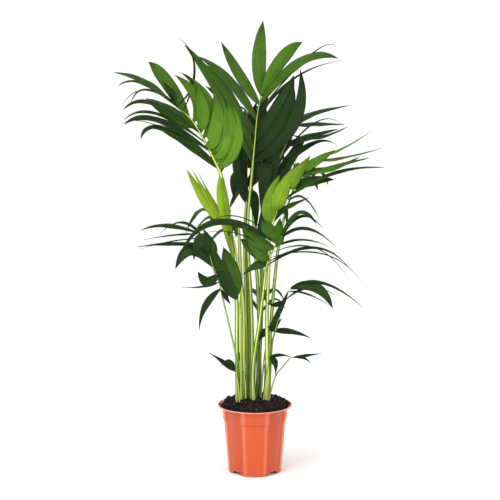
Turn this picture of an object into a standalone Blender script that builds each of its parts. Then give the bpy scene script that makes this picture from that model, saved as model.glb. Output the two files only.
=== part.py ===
"""A kentia palm in a round plastic nursery pot.

Several young palms share one pot. Each frond is a stalk that rises out of the soil and a blade: a rachis
with leaflets along both of its sides and one at its end. The origin is the middle of the pot's underside,
+Z is up, and the plant is looked at from -Y.
"""
import math
from typing import NamedTuple

import bmesh
import bpy
from mathutils import Matrix, Vector

CM = 0.01
CLEARANCE = 0.0003          # gap between two pieces that touch

# Pot: a tapered wall, a wider collar for stacking, and a flared lip
POT_HEIGHT = 0.172
POT_RADIUS = 0.084          # outer radius of the collar, just under the lip
POT_WALL = 0.0015
LIP_WIDTH = 0.011           # how far the lip stands out from the collar
COLLAR_HEIGHT = 0.037       # from the stacking step up to the top of the lip
COLLAR_FLARE = 0.0025       # how much the collar widens over its height
COLLAR_STEP = 0.002         # width of the stacking step
WALL_TAPER = 0.0115         # how much the wall narrows from the step down to the ground
LIP_THICKNESS = 0.003
FLOOR_HEIGHT = 0.009        # underside of the floor, above the ground
FLOOR_THICKNESS = 0.002
STUD_RADIUS = 0.012         # flat stud in the middle of the underside
POT_SEGMENTS = 64
PANELS = 4                  # recessed panels, with a foot between each two
PANEL_RECESS = 0.0008
PANEL_ANGLE = math.radians(45)
NOTCH_HEIGHT = 0.008
NOTCH_WIDTH = 0.032
DRAIN_HOLES = 6
DRAIN_RADIUS = 0.004
DRAIN_CIRCLE = 0.5 * POT_RADIUS
LIP_RADIUS = POT_RADIUS + LIP_WIDTH
COLLAR_RADIUS = POT_RADIUS - COLLAR_FLARE
WALL_RADIUS = COLLAR_RADIUS - COLLAR_STEP
FOOT_RADIUS = WALL_RADIUS - WALL_TAPER
STEP_HEIGHT = POT_HEIGHT - COLLAR_HEIGHT

# Soil: fills the pot and heaps up round the stalks
SOIL_CROWN = 0.011          # top of the heap, above the lip
SOIL_DROP = 0.005           # edge of the heap, below the top of the lip
SOIL_SHOULDER = 0.004       # height above the lip where the heap begins to fall to its edge
SHOULDER_WIDTH = 0.009      # from that shoulder out to the collar
SOIL_SLOPE = 0.024          # from the flat top of the heap out to the collar
SOIL_FLAT_RADIUS = POT_RADIUS - SOIL_SLOPE
SOIL_SEGMENTS = 32

# Foliage: the tables below are drawn for a plant of this height, spread and flat top of soil
DRAWN_HEIGHT = 0.96
DRAWN_SPREAD = 0.66
DRAWN_SOIL = 0.060
FOLIAGE_HEIGHT = 0.96       # from the top of the lip to the highest tip
FOLIAGE_SPREAD = 0.66       # from the tip furthest left to the tip furthest right
PLANTING_DEPTH = 0.020      # how far a stalk goes into the soil
LEAFLET_THICKNESS = 0.0010
RACHIS_SHARE = 0.8          # half the thickness of a rachis at its start, as a share of its stalk's radius
RACHIS_TAPER = 0.4          # thickness of a rachis at its end, as a share of its start
STALK_SIDES = 6
SOCKET_CLEARANCE = CLEARANCE / math.cos(math.pi / STALK_SIDES)
STALK_RINGS = 12
SMOOTH_SIDES = 62           # degrees between two sides of a stalk, still shaded smooth
FRONT = (0, -1, 0)
UP = (0, 0, 1)

# Along a leaflet: how far along, and its width there as a share of the widest
LEAFLET_OUTLINE = ((0.03, 0.22), (0.11, 0.48), (0.28, 0.86), (0.48, 1.0), (0.70, 0.74), (0.88, 0.36),
                   (1.0, 0.05))


class Leaflet(NamedTuple):
    """One leaflet: a point halfway, its tip, its width, and how far its face turns from front to up."""
    middle: tuple
    tip: tuple
    width: float
    turn: float


class Frond(NamedTuple):
    """One frond, in centimetres from the pot's axis and above its lip."""
    name: str
    foot_radius: float
    neck_radius: float
    stalk: tuple
    rachis: tuple
    left: tuple
    right: tuple
    end: tuple
    facing: tuple = FRONT


FRONDS = (
    Frond("arching", 0.60, 0.45,
          ((-4.3, -1.2), (-4.5, -1.5, 14), (-4.6, -2, 27), (-5.7, -2.6, 39.5), (-7.2, -3, 48.5),
           (-8, -3.2, 57)),
          ((-10.5, -4, 63), (-12.5, -5, 67), (-15.5, -7, 72), (-20.5, -11, 76.5)),
          (Leaflet((-17, -7, 67), (-24, -12, 70.5), 3.0, 45),
           Leaflet((-22, -10, 70), (-27, -15, 67.5), 2.8, 50),
           Leaflet((-23, -11, 72), (-30.5, -18.5, 71), 2.8, 50),
           Leaflet((-23.5, -9.5, 73.5), (-31, -13.5, 72), 2.4, 60),
           Leaflet((-24, -13, 76), (-30.5, -19.5, 74.5), 2.8, 50),
           Leaflet((-20, -8, 73.5), (-26, -10.5, 77), 3.4, 20),
           Leaflet((-24.5, -14, 79), (-29, -19, 75.5), 2.0, 65),
           Leaflet((-26, -12.5, 80.5), (-32, -16, 80), 2.2, 60)),
          (Leaflet((-5, -4.5, 66), (-5.2, -5.5, 75), 3.8, 10),
           Leaflet((-6.2, -5, 67), (-6.5, -6.5, 76), 3.8, 5),
           Leaflet((-7.7, -5.5, 68), (-8, -7, 77), 3.6, 5),
           Leaflet((-9.2, -6, 70), (-10, -8, 78.5), 3.4, 10),
           Leaflet((-11, -7, 75.5), (-17.5, -10, 83), 2.6, 20),
           Leaflet((-12.5, -7.5, 75.5), (-15, -9.5, 81), 2.6, 15),
           Leaflet((-14, -8.5, 77), (-19, -12.5, 82.5), 2.8, 15),
           Leaflet((-21, -11.5, 81), (-25, -14, 85.5), 3.2, 15),
           Leaflet((-19.5, -12, 78), (-22, -15, 81), 1.8, 20)),
          Leaflet((-25.5, -15.5, 81), (-32.5, -21, 83), 2.6, 50)),
    Frond("crown", 0.60, 0.45,
          ((-1, 0), (-0.7, 0.3, 14), (-1, 0.6, 26.5), (-1.7, 1, 39), (-1.7, 1.5, 48), (-0.7, 2, 59)),
          ((0, 2.5, 66.5), (0.5, 3, 72), (1.5, 3.5, 78)),
          (Leaflet((-9, 8.5, 78.5), (-18, 13, 90.5), 3.0, 20),
           Leaflet((-7, 7.5, 78.5), (-15.5, 11.5, 87), 2.2, 30),
           Leaflet((-6.5, 7, 81.5), (-14.5, 11, 87.5), 2.2, 30),
           Leaflet((-4, 6, 83), (-8.5, 8, 91), 2.4, 15)),
          (Leaflet((9.5, -1, 71), (11, -1.5, 84), 3.2, 20),
           Leaflet((6.5, 1, 71), (9.5, -1, 80), 3.8, 15),
           Leaflet((6, 1, 74.5), (9.5, -1, 82.5), 3.8, 20),
           Leaflet((3.7, 2.4, 71.5), (6.5, 1, 79), 3.6, 15),
           Leaflet((9, -0.5, 81.5), (20.5, -7, 86), 1.8, 50),
           Leaflet((11, -1.5, 86), (20, -6, 86.5), 2.8, 40),
           Leaflet((6.5, 1, 86.5), (11.5, -2, 90.5), 3.0, 15)),
          Leaflet((1, 4, 87), (2, 4, 96), 3.3, 5)),
    Frond("shaded", 0.50, 0.35,
          ((0.3, 2), (1.3, 2.5, 13.5), (1.8, 3, 26), (1.8, 4, 39), (1.9, 4.5, 47.5)),
          ((3.5, 5, 54), (5.5, 6, 60), (8.5, 7, 66.5), (11.5, 8, 70.5)),
          (Leaflet((3.5, 12.5, 60), (4, 15, 69), 3.2, 10),
           Leaflet((4.5, 13, 63), (6.5, 15, 73), 3.6, 15)),
          (Leaflet((6.5, 6, 57), (10.5, 7, 66), 3.2, 20),
           Leaflet((14.5, 10.5, 65.5), (21.5, 16.5, 64.5), 1.8, 60),
           Leaflet((12.5, 8.5, 67), (21.5, 14.5, 69), 2.4, 60),
           Leaflet((16, 12.5, 67), (24.5, 20.5, 69.5), 2.0, 65),
           Leaflet((15.5, 12.5, 70.5), (23.5, 20, 70), 2.2, 60)),
          Leaflet((14.5, 11.5, 73), (25, 19.5, 75), 2.2, 55)),
    Frond("bright", 0.60, 0.40,
          ((2.5, -1.5), (3.2, -1.6, 8), (3, -1.8, 14), (3, -2.2, 22), (3.2, -2.6, 29.5), (3.5, -3, 37),
           (3.6, -3.4, 43.5)),
          ((5, -4, 48.5), (6.5, -4.5, 52), (9, -5.5, 56.5), (11.5, -6, 59.5), (15.5, -9, 63)),
          (Leaflet((3.5, -5, 51), (6, -5, 58.5), 4.2, 10),
           Leaflet((6, -6, 53), (9.5, -6, 60.5), 4.2, 5),
           Leaflet((8.5, -7, 56), (13, -7, 62.5), 3.4, 10),
           Leaflet((11.5, -8, 60), (19, -12.5, 64.5), 2.6, 30)),
          (Leaflet((9.5, -6, 51.5), (13, -8, 53), 1.6, 50),
           Leaflet((18, -10, 59), (30, -18.5, 61), 2.0, 65),
           Leaflet((13.5, -6, 57), (19, -8.5, 57.5), 3.4, 30),
           Leaflet((19.5, -10, 61), (27, -14, 63), 2.0, 60),
           Leaflet((18, -11, 60.5), (24.5, -17.5, 63.5), 2.4, 50),
           Leaflet((20.5, -12.5, 63), (29.5, -18, 65.5), 1.8, 65)),
          Leaflet((21, -14, 65.5), (27, -18, 69.5), 1.6, 60)),
    Frond("inner", 0.50, 0.35,
          ((-2, 1.5), (-2, 2, 13.5), (-2.3, 2.6, 26), (-2.6, 3.6, 39), (-2.4, 4.2, 47.5)),
          ((-2, 7.5, 53), (-2, 9.5, 59), (-1, 10.5, 65)),
          (Leaflet((-4, 8.5, 61), (-4, 9, 74), 3.6, 5),
           Leaflet((-3, 9, 63), (-2.5, 10, 74.5), 3.8, 10),
           Leaflet((-1.5, 10.5, 68.5), (0.5, 11.5, 76), 3.2, 10)),
          (Leaflet((0, 9, 57.5), (1, 9.5, 62.5), 2.8, 20),
           Leaflet((1, 10.5, 64.5), (4, 11, 73), 3.4, 10)),
          Leaflet((0.5, 11.5, 70.5), (3.5, 12.5, 78), 3.2, 15)),
    Frond("front", 0.55, 0.35,
          ((-0.2, -2), (-0.5, -2.4, 9.5), (1, -3.4, 21), (2.2, -4.5, 31), (2.6, -5, 35)),
          ((3.5, -6, 38), (5, -8, 41.5), (6.5, -10, 44)),
          (Leaflet((-0.5, -7, 40.5), (-3.5, -8.5, 43), 3.0, 20),
           Leaflet((-4, -10, 44.5), (-12.5, -13, 45), 1.0, 60),
           Leaflet((0, -8.5, 43), (-3, -10, 47), 3.4, 20),
           Leaflet((-9.5, -11, 47.5), (-18.5, -16, 38.5), 2.0, 40),
           Leaflet((-4.5, -12, 49), (-12.5, -15, 46.5), 0.8, 60),
           Leaflet((3.5, -10.5, 45.5), (1.5, -12, 48), 3.2, 20)),
          (Leaflet((14, -8, 41), (23, -11, 36), 2.2, 60),
           Leaflet((11.5, -7, 40.5), (19.5, -8, 39.5), 1.8, 65),
           Leaflet((11, -9, 43), (18, -12, 41.5), 1.8, 60),
           Leaflet((12, -11, 46), (19, -14, 42), 2.4, 55),
           Leaflet((11, -12, 49), (16, -15, 46.5), 2.2, 50)),
          Leaflet((10.5, -13, 50), (14.5, -17, 47.5), 2.2, 50)),
    Frond("left_low", 0.30, 0.20,
          ((-4.5, -3), (-4.7, -3.4, 12), (-6.2, -4.2, 20), (-8.1, -5, 28.5)),
          ((-9, -5.5, 32.5), (-10.5, -6, 36.5), (-12, -7, 42), (-14, -7.5, 44.5)),
          (Leaflet((-11.5, -6, 28), (-13.5, -8, 23), 1.2, 30),
           Leaflet((-12.5, -7, 33), (-17.5, -9, 34), 1.4, 55),
           Leaflet((-11.5, -6, 34.5), (-13.5, -6.5, 36.5), 1.6, 30),
           Leaflet((-14, -7, 40), (-18, -9, 38), 3.2, 25),
           Leaflet((-21, -9, 42), (-28.5, -12, 41.5), 2.2, 50),
           Leaflet((-20, -8, 44), (-27, -10, 43), 1.4, 60)),
          (Leaflet((-7, -5.5, 28), (-6, -6, 26.5), 1.2, 30),
           Leaflet((-10.5, -6.5, 41), (-12.8, -7, 45.5), 2.4, 15),
           Leaflet((-17.5, -7, 47), (-23, -8, 44.5), 1.8, 55)),
          Leaflet((-21.5, -9, 46.5), (-27.5, -12, 45.5), 1.8, 60)),
    Frond("young_right", 0.28, 0.18,
          ((3.6, 0.2), (4.2, -0.6, 14), (5.2, -1.4, 19.5), (6.6, -2.4, 24.5)),
          ((8, -4, 29), (9, -4.5, 30.5)),
          (Leaflet((5, -3, 26), (3, -3.5, 26.5), 1.4, 30),
           Leaflet((5, -3.5, 22.5), (3, -4.5, 20.5), 1.4, 30)),
          (Leaflet((13.5, -4, 30.5), (20, -5, 28.5), 1.6, 55),
           Leaflet((13, -5, 29), (19, -7, 26), 1.4, 55),
           Leaflet((15, -6, 32), (19, -9, 26), 2.6, 25)),
          Leaflet((17, -5.5, 33), (26.5, -8, 26), 1.4, 60)),
    Frond("broad", 0.35, 0.25,
          ((-3.5, -2.2), (-3.5, -2.6, 14.5), (-3.6, -3, 24)),
          ((-4.5, -3.1, 28.4),),
          (Leaflet((-8, -5, 33.5), (-11.5, -6, 43), 3.2, 10),),
          (),
          Leaflet((-5.8, -3, 34), (-7.8, -4, 40.5), 4.2, 5)),
    Frond("spear", 0.35, 0.22,
          ((-3, -0.5), (-2.8, -0.5, 14), (-3, -0.5, 26.5), (-4.5, -0.8, 38), (-6.1, -1, 44.5)),
          ((-7.5, -1, 46.5),),
          (Leaflet((-11.5, 0, 50.5), (-17, 0.6, 59.5), 1.6, 10),),
          (Leaflet((-10.5, -2.4, 52), (-14, -3, 59), 1.4, 10),),
          Leaflet((-11, -1.2, 51.5), (-15.5, -1.4, 59.5), 1.4, 10)),
    Frond("low_left", 0.22, 0.15,
          ((-3.7, -4), (-4.1, -4.3, 5), (-4.6, -4.5, 8.5)),
          ((-5.2, -4.6, 9.5),),
          (Leaflet((-6.5, -5, 12), (-8.5, -6, 11), 1.6, 40),),
          (),
          Leaflet((-8, -5, 12), (-11.5, -6, 14.5), 1.4, 40)),
    Frond("low_right", 0.22, 0.15,
          ((2.8, -3), (5, -3.5, 7.5), (7, -4, 10.5), (8.6, -4.2, 12.5)),
          ((9.5, -4.5, 13),),
          (Leaflet((13, -4.5, 13.5), (16.5, -5, 14), 1.2, 50),),
          (),
          Leaflet((12, -5, 13), (14, -5.5, 11.5), 1.0, 50)),
    Frond("low_front", 0.22, 0.15,
          ((1.8, -2.8), (2.8, -3.2, 7), (3.4, -3.5, 11.5)),
          ((3.6, -3.6, 12.5),),
          (),
          (Leaflet((5, -4, 11.5), (5, -5, 8.5), 1.8, 30),),
          Leaflet((6, -4, 13.5), (9.5, -5, 13), 1.2, 50)),
    Frond("low_centre", 0.25, 0.18,
          ((1.3, 0.5), (2.3, 0.3, 11), (3.5, 0, 18)),
          ((4, 0, 19),),
          (Leaflet((2, 0.5, 18), (0.5, 1, 15.5), 2.0, 30),),
          (Leaflet((9, -1.6, 19), (14, -3, 17.5), 1.8, 45),),
          Leaflet((5, 1.2, 20), (6.8, 2.2, 21.5), 2.0, 15)),
    Frond("rear", 0.55, 0.40,
          ((1.2, 3.9), (1.2, 4.4, 14), (0.8, 5.4, 28), (0, 7.2, 40), (-0.5, 9.5, 50)),
          ((-1, 13, 59), (-1, 18, 67), (-1, 24, 72), (-1.5, 29, 72.5)),
          (Leaflet((-4, 13, 54), (-6.5, 15, 48.5), 2.6, 70),
           Leaflet((-5.5, 18, 64), (-9, 22, 57), 2.8, 70),
           Leaflet((-6, 23, 71), (-10, 28, 64), 2.8, 70),
           Leaflet((-5.5, 29, 74), (-8.5, 35, 66), 2.6, 70)),
          (Leaflet((3.5, 13, 54), (8, 17, 46), 2.6, 70),
           Leaflet((4.5, 18, 65), (8.5, 22.5, 59), 2.8, 70),
           Leaflet((4, 23.5, 71.5), (8, 29, 65), 2.8, 70),
           Leaflet((2, 29.5, 74), (5, 36, 66), 2.6, 70)),
          Leaflet((-2, 34, 72), (-3, 39, 65), 2.6, 80), UP),
    Frond("rear_left", 0.50, 0.35,
          ((-1.6, 3.8), (-2.2, 4.6, 14), (-3.2, 6.4, 28), (-5, 9, 38)),
          ((-7, 12, 43), (-9.5, 16, 46), (-12, 20, 47)),
          (Leaflet((-9, 10, 43), (-14, 9.5, 37), 2.6, 70),
           Leaflet((-12.5, 14, 46), (-17, 15, 40), 2.6, 70),
           Leaflet((-15, 20, 47), (-18.5, 22, 41), 2.4, 70)),
          (Leaflet((-5, 15, 45), (-5, 20, 40), 2.6, 70),
           Leaflet((-7.5, 20, 48), (-8, 26, 42), 2.6, 70),
           Leaflet((-11, 24, 48), (-12, 29, 42), 2.4, 70)),
          Leaflet((-15, 24, 47), (-18, 28, 42), 2.4, 80), UP),
    Frond("rear_right", 0.50, 0.35,
          ((3.4, 3), (3.8, 4, 14), (4.8, 6, 28), (6.2, 9, 40), (7.5, 11, 46)),
          ((9.5, 14.5, 52), (11.5, 17.5, 55.5), (13, 20, 57)),
          (Leaflet((5.5, 17, 54), (4, 22, 49), 2.6, 70),
           Leaflet((9, 22.5, 57), (8.5, 28, 51), 2.6, 70),
           Leaflet((11.5, 25, 59.5), (11, 31, 54), 2.4, 70)),
          (Leaflet((12.5, 12, 51.5), (16.5, 12, 46.5), 2.4, 70),
           Leaflet((14.5, 16, 56.5), (16.5, 17, 53), 2.6, 70),
           Leaflet((17, 20, 58), (19.5, 22, 54), 2.4, 70)),
          Leaflet((15, 24, 59), (16, 28.5, 54), 2.4, 80), UP),
    Frond("rear_low", 0.30, 0.20,
          ((-0.2, 5), (0.1, 6.6, 10), (1, 8.4, 18)),
          ((1.5, 10.5, 22), (2, 14, 24.5)),
          (Leaflet((-1.5, 12, 25), (-5, 14, 22), 2.0, 70),
           Leaflet((-1, 16, 27), (-4, 20, 23), 2.0, 70)),
          (Leaflet((5, 12, 25), (8, 14, 22), 2.0, 70),
           Leaflet((5, 16.5, 27), (8, 20, 23), 2.0, 70)),
          Leaflet((2.5, 18, 26.5), (3, 22.5, 22), 2.0, 80), UP),
)


def clear_scene():
    for thing in list(bpy.data.objects):
        bpy.data.objects.remove(thing, do_unlink=True)


def make_material(name, colour, roughness, metallic=0.0):
    material = bpy.data.materials.new(name)
    material.use_nodes = True
    shader = material.node_tree.nodes["Principled BSDF"]
    shader.inputs["Base Color"].default_value = (*colour, 1.0)
    shader.inputs["Roughness"].default_value = roughness
    shader.inputs["Metallic"].default_value = metallic
    return material


def make_object(name, bm, material=None, smooth_angle=35):
    """Turn a finished bmesh into an object, with its faces pointing out and its round sides smooth."""
    bmesh.ops.recalc_face_normals(bm, faces=bm.faces)
    mesh = bpy.data.meshes.new(name)
    bm.to_mesh(mesh)
    bm.free()
    mesh.shade_smooth()
    mesh.set_sharp_from_angle(angle=math.radians(smooth_angle))
    thing = bpy.data.objects.new(name, mesh)
    if material:
        mesh.materials.append(material)
    bpy.context.scene.collection.objects.link(thing)
    return thing


def cut(target, cutter):
    """Subtract one object from another; the cutter stays as a hidden guide."""
    cutter.hide_render = True
    cutter.display_type = "WIRE"
    modifier = target.modifiers.new(cutter.name, "BOOLEAN")
    modifier.operation = "DIFFERENCE"
    modifier.solver = "EXACT"
    modifier.object = cutter


def turned(profile, segments):
    """Turn an open profile of (radius, height), both ends on the axis, into a closed round solid."""
    bm = bmesh.new()
    points = [bm.verts.new((radius, 0, height)) for radius, height in profile]
    edges = [bm.edges.new(pair) for pair in zip(points, points[1:])]
    bmesh.ops.spin(bm, geom=points + edges, cent=(0, 0, 0), axis=(0, 0, 1), angle=math.tau,
                   steps=segments, use_merge=True)
    bmesh.ops.remove_doubles(bm, verts=bm.verts, dist=1e-6)
    bmesh.ops.recalc_face_normals(bm, faces=bm.faces)
    return bm


def wall_radius(height):
    """Outer radius of the tapered wall at a height."""
    return FOOT_RADIUS + WALL_TAPER * height / STEP_HEIGHT


def press_panel(bm, middle):
    """Press one panel of the tapered wall inwards, between two feet."""
    way = Vector((math.cos(middle), math.sin(middle), 0))
    half = math.cos(PANEL_ANGLE / 2)
    panel = []
    for face in bm.faces:
        centre = face.calc_center_median()
        on_wall = 0 < centre.z < STEP_HEIGHT and centre.xy.length > wall_radius(centre.z) - POT_WALL / 2
        if on_wall and abs(face.normal.z) < 0.5 and centre.xy.normalized().dot(way.xy) > half:
            panel.append(face)
    bmesh.ops.inset_region(bm, faces=panel, thickness=PANEL_RECESS, depth=-PANEL_RECESS, use_boundary=True,
                           use_even_offset=True)


def make_pot():
    lip_low = POT_HEIGHT - LIP_THICKNESS
    floor_top = FLOOR_HEIGHT + FLOOR_THICKNESS
    outside = [(0, 0), (STUD_RADIUS, 0), (STUD_RADIUS + 0.001, FLOOR_HEIGHT),
               (wall_radius(FLOOR_HEIGHT) - 2 * POT_WALL, FLOOR_HEIGHT),
               (FOOT_RADIUS - 2 * POT_WALL, 0), (FOOT_RADIUS, 0), (WALL_RADIUS, STEP_HEIGHT),
               (COLLAR_RADIUS, STEP_HEIGHT + 0.0015), (POT_RADIUS, lip_low - 0.004),
               (POT_RADIUS + 0.0025, lip_low - 0.001), (LIP_RADIUS - 0.0008, lip_low),
               (LIP_RADIUS, lip_low + 0.0012), (LIP_RADIUS - 0.0012, POT_HEIGHT)]
    inside = [(POT_RADIUS + 0.003, POT_HEIGHT - 0.0008), (POT_RADIUS - POT_WALL, lip_low - 0.004),
              (COLLAR_RADIUS - POT_WALL, STEP_HEIGHT + 0.003), (WALL_RADIUS - POT_WALL, STEP_HEIGHT - 0.001),
              (wall_radius(floor_top) - POT_WALL, floor_top), (0, floor_top)]
    body = turned(outside + inside, POT_SEGMENTS)
    middles = [math.radians(45) + index * math.tau / PANELS for index in range(PANELS)]
    for middle in middles:
        press_panel(body, middle)
    pot = make_object("pot", body, make_material("terracotta_plastic", (0.79, 0.14, 0.035), 0.38))
    for index, middle in enumerate(middles):
        notch = bmesh.new()
        place = Matrix.Rotation(middle, 4, "Z") @ Matrix.Translation((FOOT_RADIUS, 0, 0))
        size = Matrix.Diagonal((8 * POT_WALL, NOTCH_WIDTH, 2 * NOTCH_HEIGHT, 1))
        bmesh.ops.create_cube(notch, size=1, matrix=place @ size)
        cut(pot, make_object(f"notch_{index}", notch))
    for index in range(DRAIN_HOLES):
        hole = bmesh.new()
        around = Matrix.Rotation(index * math.tau / DRAIN_HOLES, 4, "Z")
        place = around @ Matrix.Translation((DRAIN_CIRCLE, 0, 0))
        bmesh.ops.create_cone(hole, cap_ends=True, segments=12, radius1=DRAIN_RADIUS, radius2=DRAIN_RADIUS,
                              depth=4 * FLOOR_HEIGHT, matrix=place)
        cut(pot, make_object(f"drain_{index}", hole))
    return pot


def make_soil():
    bottom = FLOOR_HEIGHT + FLOOR_THICKNESS + CLEARANCE
    margin = POT_WALL + 2 * CLEARANCE
    edge = POT_HEIGHT - SOIL_DROP
    crown = POT_HEIGHT + SOIL_CROWN
    profile = [(0, bottom),
               (wall_radius(bottom) - margin, bottom),
               (WALL_RADIUS - margin, STEP_HEIGHT - 0.001),
               (COLLAR_RADIUS - margin, STEP_HEIGHT + 0.003 + 2 * CLEARANCE),
               (POT_RADIUS - margin - 0.0005, edge),
               (POT_RADIUS - SHOULDER_WIDTH, POT_HEIGHT + SOIL_SHOULDER),
               (SOIL_FLAT_RADIUS, crown),
               (0, crown)]
    return make_object("soil", turned(profile, SOIL_SEGMENTS),
                       make_material("peat_soil", (0.018, 0.012, 0.009), 0.95))


def in_place(point):
    """A point of the foliage tables, in metres; a foot has no height and goes into the soil."""
    if len(point) == 2:
        across = SOIL_FLAT_RADIUS / DRAWN_SOIL * CM
        return Vector((point[0] * across, point[1] * across, POT_HEIGHT + SOIL_CROWN - PLANTING_DEPTH))
    across = FOLIAGE_SPREAD / DRAWN_SPREAD * CM
    up = FOLIAGE_HEIGHT / DRAWN_HEIGHT * CM
    return Vector((point[0] * across, point[1] * across, POT_HEIGHT + point[2] * up))


def curve_at(points, place):
    """A point on the smooth curve through some points; place counts them, so 1.5 is between 1 and 2."""
    index = min(int(place), len(points) - 2)
    share = place - index
    before = points[index - 1] if index else 2 * points[0] - points[1]
    start, end = points[index], points[index + 1]
    after = points[index + 2] if index + 2 < len(points) else 2 * end - start
    leave, arrive = (end - before) / 2, (after - start) / 2
    return ((2 * share ** 3 - 3 * share ** 2 + 1) * start + (share ** 3 - 2 * share ** 2 + share) * leave
            + (3 * share ** 2 - 2 * share ** 3) * end + (share ** 3 - share ** 2) * arrive)


def curve_direction(points, place):
    step = 0.01
    low, high = max(place - step, 0), min(place + step, len(points) - 1)
    return (curve_at(points, high) - curve_at(points, low)).normalized()


def mix(start, end, share):
    return start + (end - start) * share


def skin(bm, sections):
    """Join a row of sections, each a list of corners, into a closed tube; its rings, sides and end."""
    rings = [[bm.verts.new(corner) for corner in section] for section in sections]
    sides = {}
    for number, (low, high) in enumerate(zip(rings, rings[1:])):
        for corner in range(len(low)):
            following = (corner + 1) % len(low)
            corners = (low[corner], low[following], high[following], high[corner])
            sides[number, corner] = bm.faces.new(corners)
    bm.faces.new(rings[0])
    return rings, sides, bm.faces.new(rings[-1])


def make_stalk(points, neck, foot_radius, neck_radius, grow=0.0):
    """A tapered stalk along the curve, from its foot to the neck where the blade begins."""
    sections = []
    for number in range(STALK_RINGS + 1):
        share = number / STALK_RINGS
        centre = curve_at(points, share * neck)
        along = curve_direction(points, share * neck)
        if number == 0:
            centre = centre - along * grow
        if number == STALK_RINGS:
            centre = centre - along * CLEARANCE / 2
        radius = mix(foot_radius, neck_radius, share) + grow
        side = along.cross(Vector(FRONT)).normalized()
        depth = side.cross(along)
        turns = [math.tau * corner / STALK_SIDES for corner in range(STALK_SIDES)]
        spokes = [math.cos(turn) * side + math.sin(turn) * depth for turn in turns]
        sections.append([centre + radius * spoke for spoke in spokes])
    bm = bmesh.new()
    skin(bm, sections)
    return bm


def split_across(first, second):
    """Split the face that two corners share, so that both sides of a twisted leaflet bend the same way."""
    shared = next(face for face in first.link_faces if second in face.verts)
    bmesh.utils.face_split(shared, first, second)


def grow_leaflet(bm, face, lower, front, leaflet, facing, side):
    """Extrude one face of a rachis out to a leaflet's tip; side is 1 on the right and -1 on the left."""
    base = face.calc_center_median()
    middle, tip = in_place(leaflet.middle), in_place(leaflet.tip)
    bend = 2 * middle - (base + tip) / 2
    turn = math.radians(leaflet.turn)
    look = math.cos(turn) * facing + math.sin(turn) * Vector(UP)
    corners = [(-1 if vert in lower else 1, 1 if vert in front else -1) for vert in face.verts]
    for share, swell in LEAFLET_OUTLINE:
        begins = dict(zip(corners, face.verts))
        face = bmesh.ops.extrude_discrete_faces(bm, faces=[face])["faces"][0]
        ends = dict(zip(corners, face.verts))
        for level in (-1, 1):
            split_across(begins[-1, level], ends[1, level])
        centre = (1 - share) ** 2 * base + 2 * share * (1 - share) * bend + share ** 2 * tip
        ahead = ((1 - share) * (bend - base) + share * (tip - bend)).normalized()
        normal = (look - ahead * look.dot(ahead)).normalized()
        half_width = side * normal.cross(ahead) * leaflet.width * CM * swell / 2
        half_thickness = normal * LEAFLET_THICKNESS / 2
        for (edge, level), vert in ends.items():
            vert.co = centre + edge * half_width + level * half_thickness


def make_blade(frond, points, neck):
    """The rachis, square in section, with a leaflet grown from each of its side faces and its end."""
    facing = Vector(frond.facing)
    slots = max(len(frond.left), len(frond.right), 1)
    sections = []
    for number in range(2 * slots + 1):
        share = number / (2 * slots)
        place = mix(neck, len(points) - 1, share)
        along = curve_direction(points, place)
        side = along.cross(facing).normalized()
        top = side.cross(along)
        half = frond.neck_radius * CM * RACHIS_SHARE * mix(1, RACHIS_TAPER, share)
        centre = curve_at(points, place)
        if number == 0:
            centre = centre + along * CLEARANCE / 2
        square = ((-1, -1), (1, -1), (1, 1), (-1, 1))
        sections.append([centre + half * (across * side + up * top) for across, up in square])
    bm = bmesh.new()
    rings, sides, end = skin(bm, sections)
    front = {ring[corner] for ring in rings for corner in (2, 3)}
    for leaflets, corner, side in ((frond.right, 1, 1), (frond.left, 3, -1)):
        for index, leaflet in enumerate(leaflets):
            number = 2 * (index * slots // len(leaflets)) + 1
            grow_leaflet(bm, sides[number, corner], rings[number], front, leaflet, facing, side)
    grow_leaflet(bm, end, (rings[-1][0], rings[-1][3]), front, frond.end, facing, -1)
    return bm


def make_frond(frond, soil, stalk_material, leaf_material):
    points = [in_place(point) for point in frond.stalk + frond.rachis]
    neck = len(frond.stalk) - 1
    foot, top = frond.foot_radius * CM, frond.neck_radius * CM
    make_object(f"{frond.name}_stalk", make_stalk(points, neck, foot, top), stalk_material, SMOOTH_SIDES)
    cut(soil, make_object(f"{frond.name}_socket", make_stalk(points, neck, foot, top, SOCKET_CLEARANCE)))
    make_object(f"{frond.name}_blade", make_blade(frond, points, neck), leaf_material, SMOOTH_SIDES)


def main():
    clear_scene()
    make_pot()
    soil = make_soil()
    stalk_material = make_material("stalk_green", (0.36, 0.50, 0.08), 0.45)
    leaf_material = make_material("leaf_green", (0.05, 0.16, 0.025), 0.42)
    for frond in FRONDS:
        make_frond(frond, soil, stalk_material, leaf_material)


main()
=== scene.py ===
"""A kentia palm in a round nursery pot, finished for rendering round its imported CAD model.

Several young palms share one pot. Each frond is a stalk that rises out of the soil and a blade: a rachis
with leaflets along both of its sides and one at its end. Everything is in metres in the CAD model's frame:
the origin is the middle of the pot's underside, +Z is up, and the plant is looked at from -Y.
"""
import math
import random
from typing import NamedTuple

import bmesh
import bpy
from mathutils import Matrix, Vector, noise


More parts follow.
